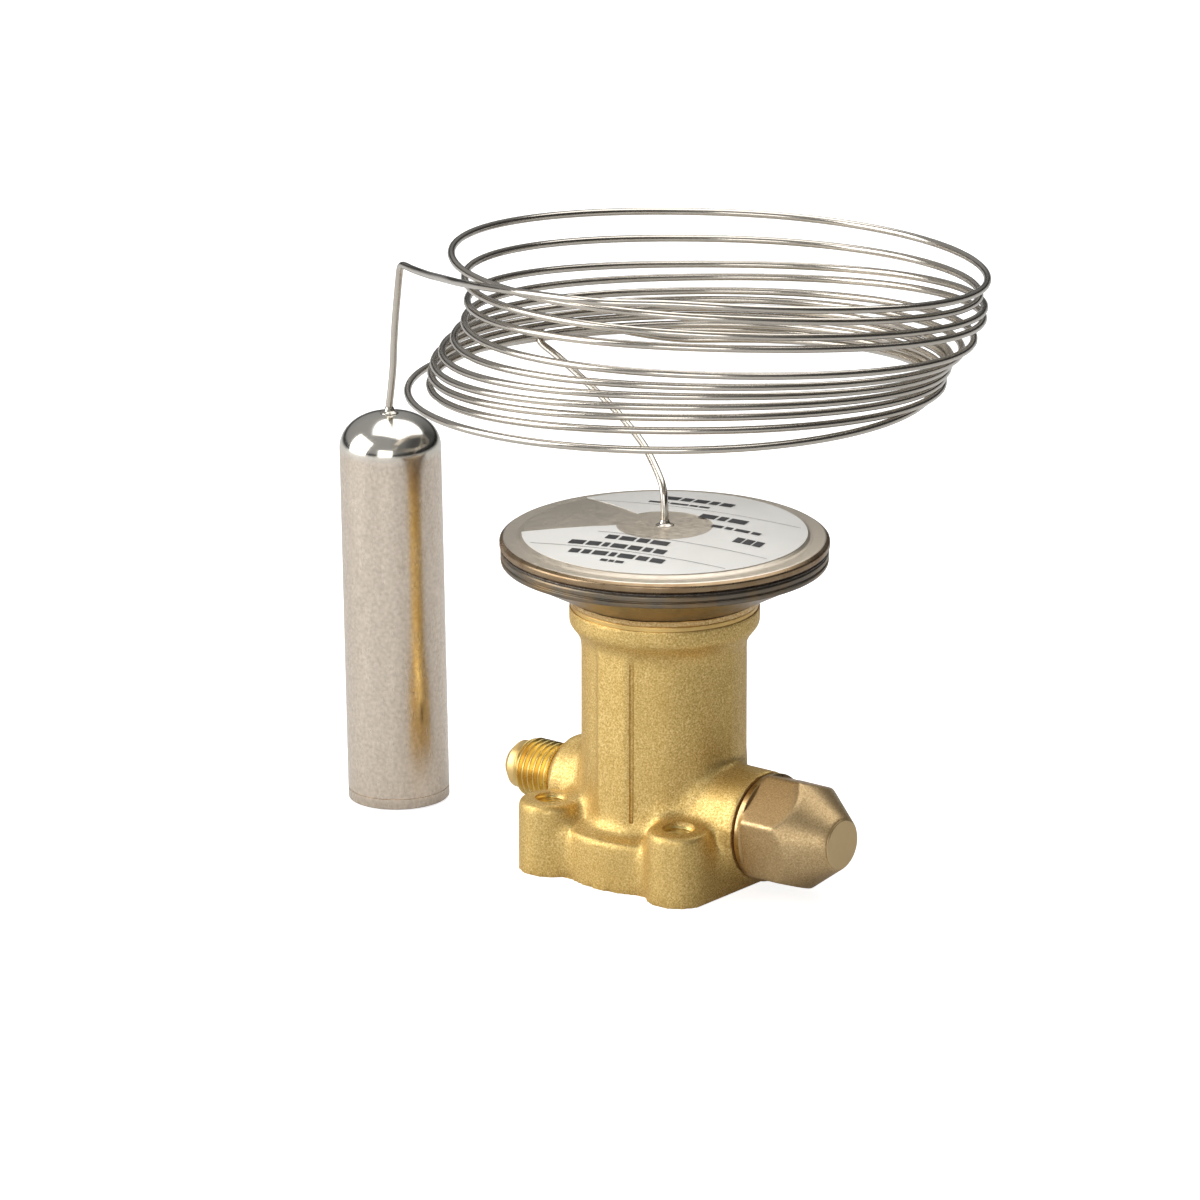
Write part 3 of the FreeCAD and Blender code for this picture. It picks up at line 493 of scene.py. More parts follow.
brass = cast("cast brass", (188, 154, 84), (222, 190, 118), (250, 224, 158), roughness=0.48)
brass_cut = machined("machined brass", (240, 212, 136), 0.24)
brass_nose = machined("satin brass", (240, 208, 140), 0.4)
brass_land = machined("tinted brass land", (226, 192, 122), 0.34, (206, 170, 106))
brass_thread = machined("threaded brass", (242, 216, 140), 0.3, (208, 170, 98))
bronze = cast("forged bronze", (176, 148, 104), (201, 172, 126), (222, 195, 148), 0.03, 0.85, 0.38)
bronze_end = machined("faced bronze", (210, 184, 138), 0.36)
bronze_cut = machined("machined bronze", (198, 168, 120), 0.3)
tinted = machined("heat tinted steel", (120, 112, 100), 0.34, (146, 122, 90))
brown_rim = machined("brown tinted rim", (156, 134, 106), 0.30, (128, 98, 66))
# Painted shade and painted reflection: the cone's underside is brown to stand for the shade under the head
# and the brass body's reflection.
underside = machined("painted shade underside", (146, 122, 92), 0.32, (112, 102, 92))
weld_dark = cast("weld bead", (62, 57, 52), (84, 77, 70), (118, 108, 98), 0.03, 0.8, 0.4)
braze = cast("pale braze", (176, 140, 88), (208, 174, 116), (238, 210, 156), 0.02, 0.9, 0.3)
plate = machined("satin steel plate", (216, 206, 190), 0.4)
tube_metal = machined("drawn steel tube", (204, 197, 186), 0.17)
solder = machined("solder", (200, 194, 184), 0.22)
steel = machined("turned steel", (178, 178, 176), 0.3)
spring_metal = machined("spring steel", (128, 128, 130), 0.34)
copper = machined("dull copper", (112, 72, 48), 0.42)
nickel = bulb_material()
film = speckled("label film", 0.15, 0.34, 60, 2.0, (0.35, (236, 234, 228)), (0.75, (246, 244, 240)))
ink = speckled("label ink", 0.0, 0.45, 500, 1.0, (0.3, (34, 34, 36)), (0.7, (52, 52, 54)))
rubber = speckled("seal rubber", 0.0, 0.7, 400, 1.0, (0.3, (28, 28, 28)), (0.7, (44, 44, 44)))

HIDDEN_METAL = {
    "turned_steel": steel, "spring_steel": spring_metal, "seal_rubber": rubber, "turned_brass": brass_cut,
    "copper_seal": copper,
}


def dress(obj, material, slot, body, *replaced):
    """Give a piece its material and its CAD body, and hide the nodes it stands for. The slot of the record
    is not used.
    """
    obj.data.materials.clear()
    obj.data.materials.append(material)
    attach(obj, body)
    if replaced:
        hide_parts(*replaced)


def second_material(obj, material, chosen):
    """Give a second material to the faces that are chosen by radius and height in millimetres."""
    obj.data.materials.append(material)
    for face in obj.data.polygons:
        centre = face.center / MM
        if chosen(math.hypot(centre.x, centre.y), centre.z):
            face.material_index = 1


# Cast body

LUG = 14.88
SPINDLE_Z = 12.0
FLARE_Z = 12.7
END_FACE = 23.1
COLLAR_TOP = 51.0
COLUMN = 15.3
CORNERS = [(1, 1), (-1, 1), (-1, -1), (1, -1)]
BODY_SKIN = 0.42
BODY_HOLLOW_ROUNDS = 110
BODY_EDGE_ROUNDS = 7
AT_SPINDLE = moved(0, 0, SPINDLE_Z)
AT_FLARE = moved(0, 0, FLARE_Z)


def step_up(value, low, high):
    """A smooth step from 0 to 1 between two values."""
    t = np.clip((value - low) / (high - low), 0, 1)
    return t * t * (3 - 2 * t)


def body_hold(points):
    """The machined faces that don't soften: the underside, both ends and the collar's top land."""
    x, y, z = points.T
    return np.maximum.reduce([
        (z < 0.35).astype(float), (x > 22.6).astype(float), (z > 49.6).astype(float),
        (x < -22.7).astype(float)])


def body_calm(points):
    """Inner corners stay narrow beside the flat panel and behind the boss, and fairly so at the collar."""
    x, y, z = points.T
    panel = (np.abs(x) < 7.0) & (y < -13.0) & (z > 20.0)
    behind = (x > 12.0) & (y > -1.5) & (z > 17.0)
    collar = z > 42.5
    return np.where(panel | behind, 0.93, np.where(collar, 0.6, 0.0))


def body_parting(mesh):
    """The mould's parting line down both sides of the column: a narrow ridge beside a low step."""
    points = coordinates(mesh) / MM
    x, y, z = points.T
    radius = np.hypot(x, y)
    near = (np.abs(radius - COLUMN) < 1.2) & (np.abs(x) > 5)
    tall = step_up(z, 20.5, 22.5) * (1 - step_up(z, 43.0, 44.5))
    step = 0.55 * step_up(y, -0.1, 0.3) * (1 - step_up(y, 5.0, 12.0))
    ridge = 0.3 * np.exp(-(y / 0.45) ** 2)
    inward = tall * near * (step - ridge) / np.maximum(radius, 1)
    points[:, 0] -= inward * x
    points[:, 1] -= inward * y
    move_points(mesh, points)


def cast_body():
    """The body with its hollows filled, under one softened skin, into which they are cut again."""
    parts = [
        copy_of("valve_body"),
        upright(14.6, 0.1, 50.9),
        across(5.9, 6.0, 31.0, SPINDLE_Z),
        across(2.7, -35.0, -6.0, FLARE_Z),
    ]
    parts += [upright(2.9, 0.1, 13.5, (LUG * x, LUG * y)) for x, y in CORNERS]
    body = joined("cast_body", parts)
    remeshed(body, BODY_SKIN)
    soften(body, BODY_HOLLOW_ROUNDS, BODY_EDGE_ROUNDS, body_hold, body_calm)
    body_parting(body.data)
    orifice_seat = upright(13.0, -2.0, 4.0, steps=128)
    spring_room = upright(12.0, 7.3, 52.0, steps=128)
    rod_hole = upright(3.2, 1.0, 9.0)
    head_socket = upright(13.95, 47.2, 53.0, steps=128)
    gland_bore = across(5.4, 12.95, 40.0, SPINDLE_Z)
    spindle_bore = across(4.3, 8.0, 20.0, SPINDLE_Z)
    boss_end = across(30.0, END_FACE, 45.0, SPINDLE_Z)
    flare_end = across(30.0, -45.0, -END_FACE, FLARE_Z)
    equaliser_drill = across(1.2, -30.0, -8.0, FLARE_Z)
    equaliser_bore = across(2.2, -30.0, -16.5, FLARE_Z)
    below = upright(60.0, -5.0, 0.0)
    panel_groove = upright(0.42, 12.5, 43.0, (4.05, -15.1), steps=16)
    above = upright(60.0, COLLAR_TOP, 60.0, steps=32)
    collar_shoulder = lathe("tool", [(17.3, 50.1), (40, 50.1), (40, 56), (17.3, 56)], 128, closed=True)
    seat_keyway = block((-1.5, 10.0, 18.3), (1.5, 13.0, 48.0))
    lug_holes = [
        lathe("tool", [(0, -1), (2.93, -1), (2.93, 13.2), (3.02, 13.35), (3.02, 17.0), (0, 17.0)], 48,
              place=moved(LUG * x, LUG * y, 0))
        for x, y in CORNERS]
    cut(body, [
        orifice_seat, spring_room, rod_hole, head_socket, gland_bore, spindle_bore, boss_end, flare_end,
        equaliser_drill, equaliser_bore, below, panel_groove, above, collar_shoulder, seat_keyway,
        *lug_holes])
    shade(body.data, 40)
    dress(body, brass, "cast_brass", "housing", "valve_body")


FADE = 0.8


def thread(name, low, high, crest, root, pitch, rows_per_turn, steps, lay):
    """A thread's skin, whose ends fade to the root. A tapped hole has its crest inside its root.

    lay turns a point about the thread's axis into a point of the part.
    """
    rows = int((high - low) / pitch * rows_per_turn)
    points = []
    for row in range(rows + 1):
        height = low + (high - low) * row / rows
        end = min(1.0, (height - low) / (FADE * pitch), (high - height) / (FADE * pitch))
        for k in range(steps):
            phase = (height / pitch - k / steps) % 1.0
            wave = max(0.0, min(1.0, 1.25 - 3.0 * abs(phase - 0.5)))
            radius = root + (crest - root) * wave * max(0.0, end)
            angle = TURN * k / steps
            points.append(lay(radius * math.cos(angle), radius * math.sin(angle), height))
    faces = [(d, c, b, a) for a, b, c, d in grid_quads(rows + 1, steps)]
    return mesh_piece(name, points, faces, 60)


def flare_fitting():
    """The flare connection: its thread, the nose with the 45 degree seat, and the machined root."""
    skin = thread("flare_thread", 22.6, 31.9, 5.54, 4.72, 1.27, 14, 96,
                  lambda x, y, height: (-height, x, y + FLARE_Z))
    dress(skin, brass_thread, "cast_brass", "housing")
    nose = lathe("flare_nose", [
        (2.2, -16.0), (2.2, -35.1, 0.15), (2.95, -35.2, 0.12), (4.47, -33.6, 0.25), (4.47, -32.2),
        (4.72, -31.7), (3.5, -30.0)], 96, "X", AT_FLARE)
    dress(nose, brass_nose, "cast_brass", "housing")
    root = lathe("flare_root", [
        (4.0, -24.4), (5.3, -23.5), (6.2, -23.15), (6.35, -22.95), (4.0, -22.5)], 96, "X", AT_FLARE)
    dress(root, brass_cut, "cast_brass", "housing")


def bolt_threads():
    """The tapped holes of the lugs: an M6 thread as a sleeve in each."""
    for number, (x, y) in enumerate(CORNERS):
        skin = thread("lug_thread_%d" % (number + 1), 0.4, 13.3, 2.5, 2.98, 1.0, 10, 40,
                      lambda a, b, height: (LUG * x + a, LUG * y + b, height))
        dress(skin, brass_thread, "cast_brass", "housing")


def spigot():
    """The spigot that the cap screws onto, and the faced end of its boss."""
    barrel = lathe("cap_spigot", [
        (5.4, 20.0), (5.4, 30.9, 0.2), (5.7, 31.1, 0.1), (7.4, 31.1, 0.1), (8.0, 30.4), (8.0, 23.0),
        (6.0, 23.0)], 96, "X", AT_SPINDLE)
    dress(barrel, brass_cut, "cast_brass", "housing")
    face = lathe("boss_face", [
        (7.9, 23.05), (9.3, 23.1, 0.05), (9.5, 23.02), (9.3, 22.6)], 96, "X", AT_SPINDLE)
    dress(face, brass_land, "cast_brass", "housing")


def collar_land():
    """The machined band at the top of the collar, bright beside the cast skin."""
    band = lathe("collar_land", [
        (17.0, 49.7), (17.5, 49.95), (17.5, 50.1, 0.05), (17.32, 50.14), (17.32, 50.9, 0.1),
        (17.2, 51.02), (16.0, 51.02)], 160)
    dress(band, brass_land, "cast_brass", "housing")


# Diaphragm head

CROWN = 65.4
PLATE = 26.5
PLATE_EDGE = 63.9
SEAM_RADIUS = 29.93
SEAM_HEIGHT = 61.1


def dome(radius):
    """Height of the domed top plate at a radius."""
    return CROWN - (CROWN - PLATE_EDGE) * (radius / PLATE) ** 2


def upper_shell():
    """The domed plate with its rolled rim, whose side is tinted brown."""
    profile = [(0.75, 64.1), (0.75, dome(0.75))]
    profile += [(r, dome(r)) for r in (2, 5, 8, 11, 14, 17, 20, 23, 25.2)]
    profile += [
        (26.1, dome(26.0), 0.6), (26.75, 63.42, 0.35), (27.3, 63.3, 0.3), (29.55, 63.32, 0.7),
        (30.4, 62.75, 0.5), (30.4, 61.75, 0.35), (29.9, 61.25, 0.15), (29.2, 61.2), (27.8, 61.2),
        (26.5, 62.6), (14.0, 63.7), (0.75, 64.1)]
    shell = lathe("head_upper", profile, 192, sharp=50)
    dress(shell, plate, "plate_steel", "housing", "upper_shell")
    second_material(shell, brown_rim, lambda radius, height: radius > 29.7 and 61.0 < height < 63.3)


def lower_shell():
    """The cone under the rim, with its sleeve in the collar."""
    shell = lathe("head_lower", [
        (12.3, 47.25), (13.9, 47.25), (13.9, 51.0), (16.4, 51.0), (16.4, 51.6, 0.5), (29.0, 58.25, 1.2),
        (30.15, 58.6, 0.5), (30.2, 59.35, 0.12), (29.85, 59.62, 0.12), (30.2, 59.9, 0.12),
        (30.2, 60.6, 0.3), (29.9, 61.0, 0.1), (27.8, 61.0), (26.5, 60.3), (13.6, 52.9), (12.3, 52.9)],
        192, closed=True, sharp=50)
    dress(shell, tinted, "shell_steel", "housing", "lower_shell")
    # The cone below the rim gets the brown material, which paints the shade under the head and the brass
    # body's reflection.
    second_material(shell, underside, lambda radius, height: height < 58.4)


def weld():
    """The seam's bead, a little uneven round the rim."""
    around = [TURN * row / 8 for row in range(8)]

    def section(angle):
        swell = 0.05 * math.sin(angle * 47 + 2 * math.sin(angle * 11)) + 0.03 * math.sin(angle * 83)
        bead = 0.30 + swell * 0.5
        return [(SEAM_RADIUS + bead * math.cos(turn), SEAM_HEIGHT + 0.26 * math.sin(turn))
                for turn in around]

    dress(uneven_ring("seam_weld", 360, section, 80), weld_dark, "shell_steel", "housing", "rim_weld")


# Each row has a radius, a height, and the share of the wave that the point takes.
BRAZE_PROFILE = [
    (16.3, 50.95, 0), (17.25, 50.98, 0.2), (17.5, 51.15, 0.8), (17.55, 51.45, 1.0), (17.45, 51.85, 1.0),
    (17.75, 52.2, 1.2), (17.1, 52.1, 0),
]


def braze_fillet():
    """The brazing alloy between collar and head, wavy where it wetted the sheet."""
    def section(angle):
        wave = 0.10 * math.sin(angle * 7 + 1) + 0.07 * math.sin(angle * 17)
        wave += 0.04 * math.sin(angle * 37 + 2)
        return [(radius + wave * share, height + wave * share * 0.7)
                for radius, height, share in BRAZE_PROFILE]

    dress(uneven_ring("braze_ring", 240, section, 70), braze, "braze", "housing", "braze_fillet")


# Label

LABEL_INNER, LABEL_OUTER = 8.9, 26.3
LABEL_START, LABEL_SPAN = 217.5, 303.5
FILM_LIFT = 0.10
FILM_THICK = 0.08
INK_LIFT = 0.17
PRINT_TURN = math.radians(13.5)
BAR_STEP = 1.2
# Each thin line has its place across the print, and its left and right ends.
PRINT_LINES = [(12.0, -21.5, 22.0), (-8.1, -9.8, 24.0), (-16.7, -19.5, 19.5)]
LINE_WIDTH = 0.12
# Each row of bars has its left end, its low and high edges, the gap between bars, and their widths.
PRINT_BARS = [
    (-8.0, 16.8, 19.3, 0.55, (3.0, 2.0, 2.6, 1.6, 2.4)),
    (-9.5, 13.6, 14.6, 0.35, (2.4, 1.2, 3.6, 1.6, 2.0)),
    (3.5, 7.0, 9.6, 0.55, (3.2, 1.6, 3.4)),
    (8.0, 2.6, 4.0, 0.55, (2.2, 1.4, 2.8, 1.7)),
    (15.0, -3.4, -0.6, 0.3, (1.6, 1.7, 1.6)),
    (-7.0, -11.4, -9.3, 0.55, (2.2, 3.0, 2.2, 3.4)),
    (-12.5, -15.6, -13.5, 0.55, (3.0, 2.6, 1.2, 2.9, 2.4, 1.6, 2.2)),
    (-10.5, -19.9, -17.9, 0.55, (2.0, 1.6, 2.8, 1.2, 3.1, 2.2, 2.6)),
    (-3.0, -22.4, -21.4, 0.3, (1.4, 1.0, 1.6)),
]


def on_dome(x, y, lift):
    return (x, y, dome(math.hypot(x, y)) + lift)


def label():
    """The round label, open over one sector, lying on the domed plate."""
    steps, rings = 180, 14
    points = []
    for k in range(steps + 1):
        angle = math.radians(LABEL_START + LABEL_SPAN * k / steps)
        for ring in range(rings + 1):
            radius = LABEL_INNER + (LABEL_OUTER - LABEL_INNER) * ring / rings
            points.append(on_dome(radius * math.cos(angle), radius * math.sin(angle), FILM_LIFT))
    obj = mesh_piece("label", points, grid_quads(steps + 1, rings + 1, closed_columns=False), 60)
    obj.modifiers.new("film", "SOLIDIFY").thickness = FILM_THICK * MM
    applied(obj)
    shade(obj.data, 60)
    dress(obj, film, "label_film", "housing", "head_label")


def print_marks():
    """Plain lines and bars where the label's print was. No words are copied."""
    points, faces = [], []

    def bar(left, right, low, high):
        """A bar in the print's own directions: along the lines and across them."""
        columns = max(1, int((right - left) / BAR_STEP))
        start = len(points)
        for column in range(columns + 1):
            along = left + (right - left) * column / columns
            for beside in (low, high):
                x = along * math.cos(PRINT_TURN) - beside * math.sin(PRINT_TURN)
                y = along * math.sin(PRINT_TURN) + beside * math.cos(PRINT_TURN)
                points.append(on_dome(x, y, INK_LIFT))
        for column in range(columns):
            a = start + column * 2
            faces.append((a, a + 2, a + 3, a + 1))

    for place, left, right in PRINT_LINES:
        bar(left, right, place, place + LINE_WIDTH)
    for left, low, high, gap, widths in PRINT_BARS:
        for width in widths:
            bar(left, left + width, low, high)
            left += width + gap
    dress(mesh_piece("label_print", points, faces, 60), ink, "label_film", "housing")


# Bulb

BULB_FOOT = Vector((-63.9, 1.0, 0.1829))
BULB_LEAN = math.radians(1.1)
BULB_WAY = math.radians(219.0)
BULB_TALL = 75.0
BULB_RADIUS = 9.525
TIP_RADIUS = 1.0
DOME_START = 68.5
DOME_TALL = 6.4


def ferrule(name, place, node):
    """A solder bead round the capillary where it enters the head or the bulb."""
    bead = lathe(name, [
        (0.0, -0.05), (1.75, -0.05), (1.62, 0.12, 0.1), (1.05, 0.38, 0.5), (0.82, 0.95, 0.3), (0.72, 1.12),
        (0.0, 1.12)], 48, place=place)
    dress(bead, solder, "solder", "housing", node)


def bulb():
    """The leaning bulb: a foot with its weld line, a plain barrel and a drawn dome."""
    axis = (-math.sin(BULB_WAY), math.cos(BULB_WAY), 0)
    place = Matrix.Translation(BULB_FOOT * MM) @ Matrix.Rotation(BULB_LEAN, 4, axis)
    profile = [
        (0, 0.25), (8.2, 0.2), (8.7, 0.0), (9.5, 0.0, 0.35), (9.5, 1.98), (9.36, 2.05), (9.36, 2.15),
        (BULB_RADIUS, 2.22), (BULB_RADIUS, 20), (BULB_RADIUS, 45), (BULB_RADIUS, 68.0)]
    for degrees in range(0, 86, 5):
        angle = math.radians(degrees)
        profile.append((TIP_RADIUS + (BULB_RADIUS - TIP_RADIUS) * math.cos(angle) ** 0.92,
                        DOME_START + DOME_TALL * math.sin(angle) ** 1.04))
    profile += [(1.2, BULB_TALL), (0, BULB_TALL)]
    can = lathe("bulb", profile, 160, place=place, sharp=50)
    dress(can, nickel, "bulb_nickel", "housing", "sensing_bulb")
    ferrule("bulb_bead", place @ moved(0, 0, BULB_TALL), "bulb_ferrule")


# Capillary: the route starts at the bulb's bead, winds through the loose turns and ends on the head

TUBE = 0.7
VIEW_TURN = math.radians(38.02)
BULB_LEAD = [
    (-65.1, 0.1, 76.3), (-64.5, 0.6, 82.8), (-64.4, 0.7, 88.0), (-64.1, 0.8, 93.0), (-63.7, 0.9, 97.4),
    (-63.2, 0.8, 101.0), (-62.6, 0.4, 103.4), (-61.2, -0.7, 104.6), (-58.8, -2.4, 105.1),
    (-55.2, -5.0, 105.7), (-50.0, -9.0, 106.9), (-43.4, -14.4, 108.6), (-36.0, -20.6, 110.8),
    (-28.6, -27.0, 113.0),
]
INTO_COIL = [
    (-23.2, -30.8, 114.3), (-12.1, -39.3, 117.5), (-1.1, -44.6, 119.8), (7.6, -46.0, 120.7),
    (14.2, -46.0, 121.2), (21.1, -44.4, 121.3),
]
# One row per turn from the top, as the photo's camera sees it: the centre's shift to the right, half the
# width, half the depth, and the heights at the turn's front, right, back and left.
TURNS = [
    (9.9, 48.9, 48.9, 120.9, 112.5, 111.4, 117.3), (10.4, 47.0, 47.0, 118.4, 109.6, 106.8, 112.8),
    (11.1, 47.2, 47.2, 115.0, 107.2, 101.8, 108.3), (10.7, 47.4, 47.4, 112.7, 105.1, 99.3, 104.5),
    (8.9, 47.5, 47.5, 107.7, 101.3, 96.6, 101.3), (6.7, 47.5, 47.5, 105.6, 99.4, 94.9, 98.7),
    (5.0, 47.3, 47.3, 103.8, 97.5, 93.4, 96.5), (4.5, 47.3, 47.3, 101.8, 96.1, 91.9, 94.6),
    (4.0, 47.0, 47.0, 99.8, 94.6, 90.3, 92.6), (1.9, 49.0, 49.0, 97.6, 93.1, 88.8, 91.0),
    (3.4, 45.8, 50.8, 94.5, 92.6, 86.1, 88.6),
]
POINTS_PER_QUARTER = 6
# Where the coil's control points start and end, in quarter turns from the front of the first turn
COIL_FIRST = -12 / 90
COIL_LAST = 42.08
# The curve runs inside its control points by this share.
CONTROL_SWELL = 0.9915
HEAD_LEAD = [
    (0.0, 0.0, 66.5), (0.0, 0.0, 70.0), (-1.2, 0.9, 72.7), (-4.2, 2.7, 75.0), (-8.8, 5.3, 77.8),
    (-14.6, 7.8, 80.2), (-20.8, 10.3, 82.4), (-27.2, 12.4, 84.4), (-33.0, 14.3, 86.2), (-38.0, 15.7, 87.8),
    (-42.3, 16.3, 89.2), (-44.2, 18.6, 90.6), (-44.2, 22.0, 91.5), (-42.3, 25.8, 91.4),
]


def between(values, place):
    """A smooth value between knots, one knot per quarter turn."""
    first = int(math.floor(place))
    t = place - first
    a, b, c, d = (values[min(max(first + k, 0), len(values) - 1)] for k in (-1, 0, 1, 2))
    return b + 0.5 * t * (c - a + t * (2 * a - 5 * b + 4 * c - d + t * (3 * (b - c) + d - a)))


def coil_points():
    """The loose turns, as control points a sixth of a quarter turn apart."""
    centres, widths, depths, heights = [], [], [], []
    for number, row in enumerate(TURNS):
        before = TURNS[max(number - 1, 0)]
        for quarter in range(4):
            share = 0.5 if quarter == 0 else 1.0
            for values, column in ((centres, 0), (widths, 1), (depths, 2)):
                values.append(before[column] * (1 - share) + row[column] * share)
            heights.append(row[3 + quarter])
    count = round((COIL_LAST - COIL_FIRST) * POINTS_PER_QUARTER)
    out = []
    for number in range(count + 1):
        place = COIL_FIRST + number / POINTS_PER_QUARTER
        angle = math.radians(270 + 90 * place)
        aside = between(centres, place) + between(widths, place) / CONTROL_SWELL * math.cos(angle)
        depth = between(depths, place) / CONTROL_SWELL * math.sin(angle)
        out.append((aside * math.cos(VIEW_TURN) - depth * math.sin(VIEW_TURN),
                    aside * math.sin(VIEW_TURN) + depth * math.cos(VIEW_TURN), between(heights, place)))
    return out


def capillary():
    """The one tube from the bulb to the head."""
    route = BULB_LEAD + INTO_COIL + coil_points() + HEAD_LEAD[::-1]
    curve = bpy.data.curves.new("capillary", "CURVE")
    curve.dimensions = "3D"
    curve.bevel_depth = TUBE * MM
    curve.bevel_resolution = 3
    curve.resolution_u = 6
    spline = curve.splines.new("NURBS")
    spline.points.add(len(route) - 1)
    for point, (x, y, z) in zip(spline.points, route):
        point.co = (x * MM, y * MM, z * MM, 1)
    spline.order_u = 3
    spline.use_endpoint_u = True
    obj = link(bpy.data.objects.new("capillary", curve))
    dress(obj, tube_metal, "capillary_steel", "housing",
          "capillary_head_lead", "capillary_coil", "capillary_bulb_lead")


# Seal cap

CAP_SKIN = 0.26
CAP_HOLLOW_ROUNDS = 26
CAP_EDGE_ROUNDS = 12


def cap_hold(points):
    """The cap's open end, which doesn't soften."""
    return (points[:, 0] < 24.1).astype(float)


def cap():
    """The forged hexagon cap, its edges worn soft, with a machined seat, a faced end and its seal."""
    whole = joined("cap", [copy_of("seal_cap"), across(8.3, 23.6, 35.2, SPINDLE_Z)])
    remeshed(whole, CAP_SKIN)
    soften(whole, CAP_HOLLOW_ROUNDS, CAP_EDGE_ROUNDS, cap_hold)
    thread_bore = across(8.05, 20.0, 32.4, SPINDLE_Z)
    key_room = across(5.2, 30.0, 35.0, SPINDLE_Z)
    seat_side = across(30.0, 18.0, 24.2, SPINDLE_Z)
    far_side = across(30.0, 40.95, 46.0, SPINDLE_Z)
    cut(whole, [thread_bore, key_room, seat_side, far_side])
    shade(whole.data, 40)
    dress(whole, bronze, "bronze_cap", "cap", "seal_cap")
    seat = lathe("cap_seat", [
        (8.05, 23.5), (9.6, 23.5, 0.15), (9.9, 23.75, 0.15), (9.9, 24.7, 0.1), (10.2, 24.95, 0.15),
        (9.4, 25.4), (8.05, 25.4)], 96, "X", AT_SPINDLE, closed=True)
    dress(seat, bronze_cut, "bronze_cap", "cap")
    end = lathe("cap_end", [
        (4.2, 40.6), (4.6, 40.9), (4.72, 41.08, 0.1), (4.5, 41.2, 0.06), (0, 41.2)], 96, "X", AT_SPINDLE)
    dress(end, bronze_end, "bronze_cap", "cap")
    ring = lathe("cap_seal_ring", [
        (8.2, 23.1), (9.5, 23.1, 0.1), (9.5, 23.5, 0.1), (8.2, 23.5)], 96, "X", AT_SPINDLE, closed=True)
    dress(ring, copper, "copper_seal", "gasket", "cap_gasket")


# Superheat spring

SPRING_FOOT = 25.25
SPRING_PITCH = 6.28
SPRING_TURNS = 5.0
SPRING_RADIUS = 9.5
WIRE = 0.9


def spring_half(name, first, last):
    """Part of the open coil between two counts of turns."""
    steps, around = 120, 12
    points = []
    for step in range(steps + 1):
        turns = first + (last - first) * step / steps
        for k in range(around):
            radius = SPRING_RADIUS + WIRE * math.cos(TURN * k / around)
            points.append((radius * math.cos(TURN * turns), radius * math.sin(TURN * turns),
                           SPRING_FOOT + SPRING_PITCH * turns + WIRE * math.sin(TURN * k / around)))
    faces = [(a, d, c, b) for a, b, c, d in grid_quads(steps + 1, around)]
    faces.append(tuple(range(around)))
    faces.append(tuple(steps * around + k for k in reversed(range(around))))
    obj = mesh_piece(name, points, faces)
    obj.data.materials.append(spring_metal)
    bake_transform(obj)
    return obj


def spring():
    """The superheat spring in two halves, in place of the CAD spring, which is hidden."""
    middle = SPRING_TURNS / 2
    low = spring_half("spring_low", 0.0, middle)
    spring_half("spring_high", middle, SPRING_TURNS)
    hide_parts("superheat_spring")


def hidden_pieces():
    """What stays hidden keeps its CAD shape and gets a plain material."""
    slots = {part["node"]: part["material_slot"] for part in record["subparts"]}
    for node, obj in frame["nodes"].items():
        if slots[node] in HIDDEN_METAL:
            obj.data.materials.clear()
            obj.data.materials.append(HIDDEN_METAL[slots[node]])


# Floor, light and camera. Places and lamp sizes are in metres.

FLOOR_HALF = 5000
FLOOR_LOW = -0.02
FLOOR_GREY = 0.62
FLOOR_GLOW = (("Is Camera Ray", 0.85), ("Is Glossy Ray", 0.03), ("Is Transmission Ray", 0.85))
STUDIO_STRENGTH = 0.34
STUDIO_HEIGHTS = ((0.0, 0.10), (0.10, 0.14), (0.18, 0.85), (0.55, 1.0), (1.0, 1.0))
DARK_WAY = (0.79, 0.61, 0.0)
DARK_START, DARK_END, DARK_SHARE = 0.0, 0.7, 0.22
CENTRE = (0.0, 0.0, 0.06)
CAMERA_PLACE = (1.27596, -1.65127, 0.69813)
CAMERA_TILT = math.radians(72.77)
CAMERA_LENS = 356.4


def stage_material():
    """Pale floor that shows as white to the camera and in reflections, and keeps the object's shadow."""
    material = bpy.data.materials.new("floor")
    material.use_nodes = True
    tree = material.node_tree
    shader = tree.nodes["Principled BSDF"]
    shader.inputs["Base Color"].default_value = (FLOOR_GREY, FLOOR_GREY, FLOOR_GREY, 1)
    shader.inputs["Roughness"].default_value = 0.9
    path = tree.nodes.new("ShaderNodeLightPath")
    glow = None
    for ray, strength in FLOOR_GLOW:
        share = tree.nodes.new("ShaderNodeMath")
        share.operation = "MULTIPLY"
        share.inputs[1].default_value = strength
        tree.links.new(path.outputs[ray], share.inputs[0])
        if glow is None:
            glow = share.outputs[0]
        else:
            total = tree.nodes.new("ShaderNodeMath")
            total.operation = "ADD"
            tree.links.new(glow, total.inputs[0])
            tree.links.new(share.outputs[0], total.inputs[1])
            glow = total.outputs[0]
    shader.inputs["Emission Color"].default_value = (1, 1, 1, 1)
    tree.links.new(glow, shader.inputs["Emission Strength"])
    return material


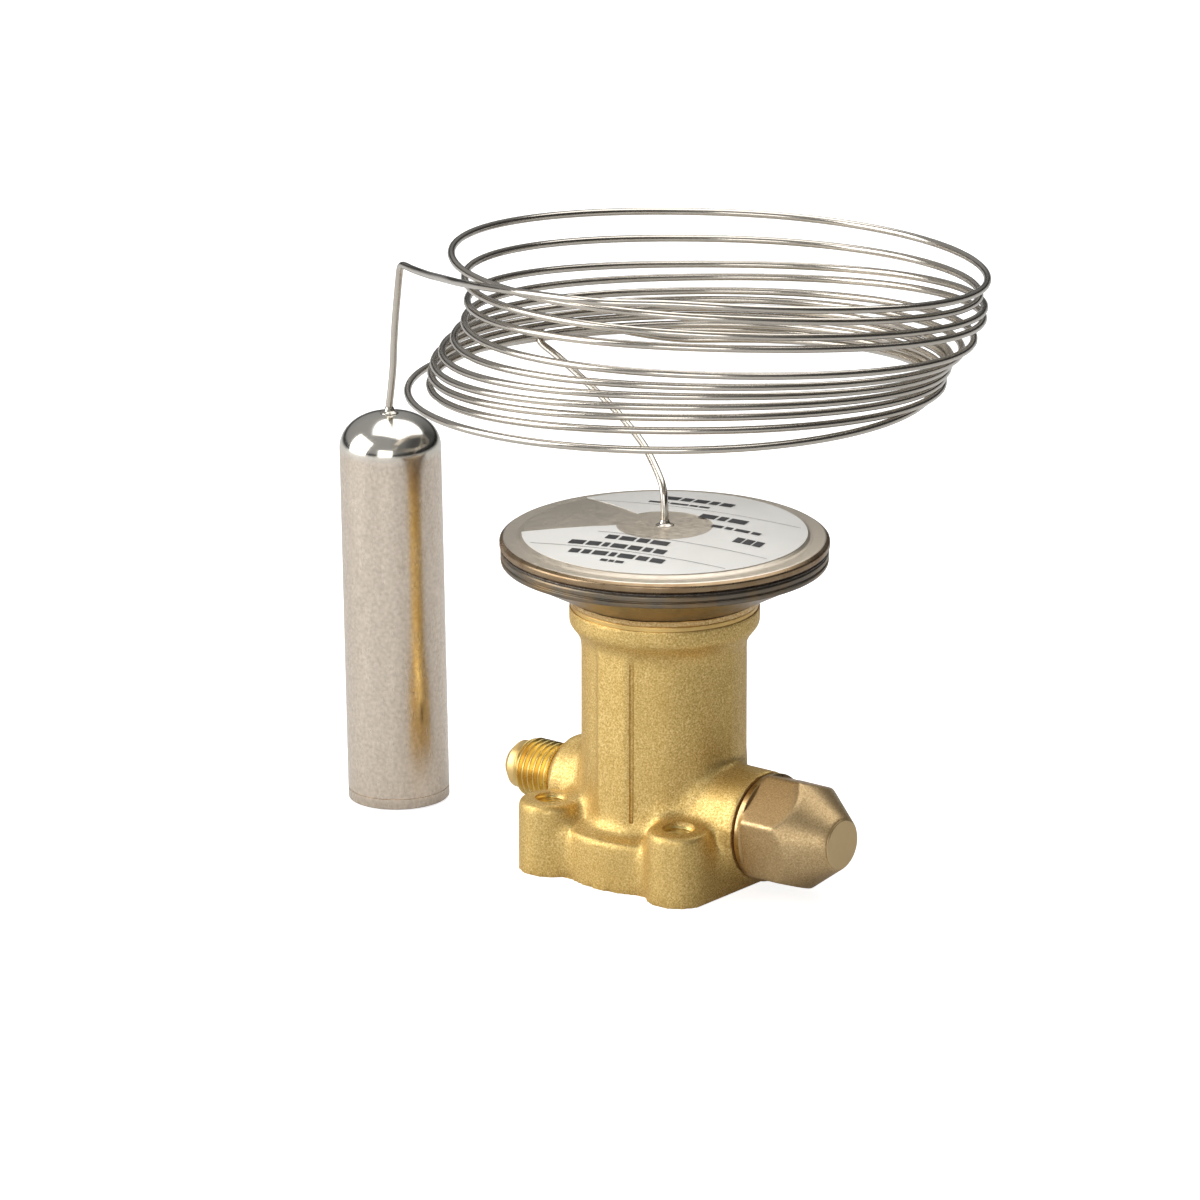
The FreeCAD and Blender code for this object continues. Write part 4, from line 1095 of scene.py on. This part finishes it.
def floor():
    corners = ((-FLOOR_HALF, -FLOOR_HALF), (FLOOR_HALF, -FLOOR_HALF), (FLOOR_HALF, FLOOR_HALF),
               (-FLOOR_HALF, FLOOR_HALF))
    obj = mesh_piece("floor", [(x, y, FLOOR_LOW) for x, y in corners], [(0, 1, 2, 3)])
    obj.data.materials.append(stage_material())
    obj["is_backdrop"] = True


def studio():
    """White surroundings, darker low down and on the right side, which metal shows as dark lines."""
    world = bpy.data.worlds.new("studio")
    bpy.context.scene.world = world
    world.use_nodes = True
    tree = world.node_tree
    back = tree.nodes["Background"]
    way = tree.nodes.new("ShaderNodeTexCoord").outputs["Generated"]
    split = tree.nodes.new("ShaderNodeSeparateXYZ")
    tree.links.new(way, split.inputs[0])
    ramp = tree.nodes.new("ShaderNodeValToRGB")
    tree.links.new(split.outputs["Z"], ramp.inputs["Fac"])
    fill_ramp(ramp, [(at, (value, value, value, 1)) for at, value in STUDIO_HEIGHTS])
    aside = tree.nodes.new("ShaderNodeVectorMath")
    aside.operation = "DOT_PRODUCT"
    tree.links.new(way, aside.inputs[0])
    aside.inputs[1].default_value = DARK_WAY
    share = map_range(tree, aside.outputs["Value"], DARK_START, DARK_END, 1.0, DARK_SHARE)
    both = tree.nodes.new("ShaderNodeVectorMath")
    both.operation = "SCALE"
    tree.links.new(ramp.outputs["Color"], both.inputs[0])
    tree.links.new(share, both.inputs["Scale"])
    tree.links.new(both.outputs["Vector"], back.inputs["Color"])
    back.inputs["Strength"].default_value = STUDIO_STRENGTH


def lamp(name, place, size, power):
    data = bpy.data.lights.new(name, "AREA")
    data.shape = "RECTANGLE"
    data.size, data.size_y = size
    data.energy = power
    obj = link(bpy.data.objects.new(name, data))
    obj.location = place
    obj.rotation_euler = (Vector(CENTRE) - Vector(place)).to_track_quat("-Z", "Y").to_euler()


def camera():
    data = bpy.data.cameras.new("camera")
    data.lens = CAMERA_LENS
    data.sensor_width = 36
    data.clip_end = 100
    obj = link(bpy.data.objects.new("camera", data))
    obj.location = CAMERA_PLACE
    obj.rotation_euler = (CAMERA_TILT, 0, VIEW_TURN)
    bpy.context.scene.camera = obj


cast_body()
flare_fitting()
bolt_threads()
spigot()
collar_land()
upper_shell()
lower_shell()
weld()
braze_fillet()
label()
print_marks()
ferrule("head_bead", moved(0, 0, CROWN), "head_ferrule")
bulb()
capillary()
cap()
spring()
hidden_pieces()
floor()
studio()
lamp("key", (-0.70, -0.72, 0.42), (0.9, 1.0), 10.2)
lamp("fill", (0.42, -0.95, 0.26), (0.6, 0.5), 2.6)
lamp("top", (-0.05, 0.25, 0.95), (1.1, 1.1), 7.4)
camera()
bpy.context.scene.view_settings.view_transform = "Standard"


def plain(value):
    """Corners as plain lists."""
    return [plain(item) for item in value] if hasattr(value, "__len__") else float(value)


{"load": plain(size_at_load), "finish": plain(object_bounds())}
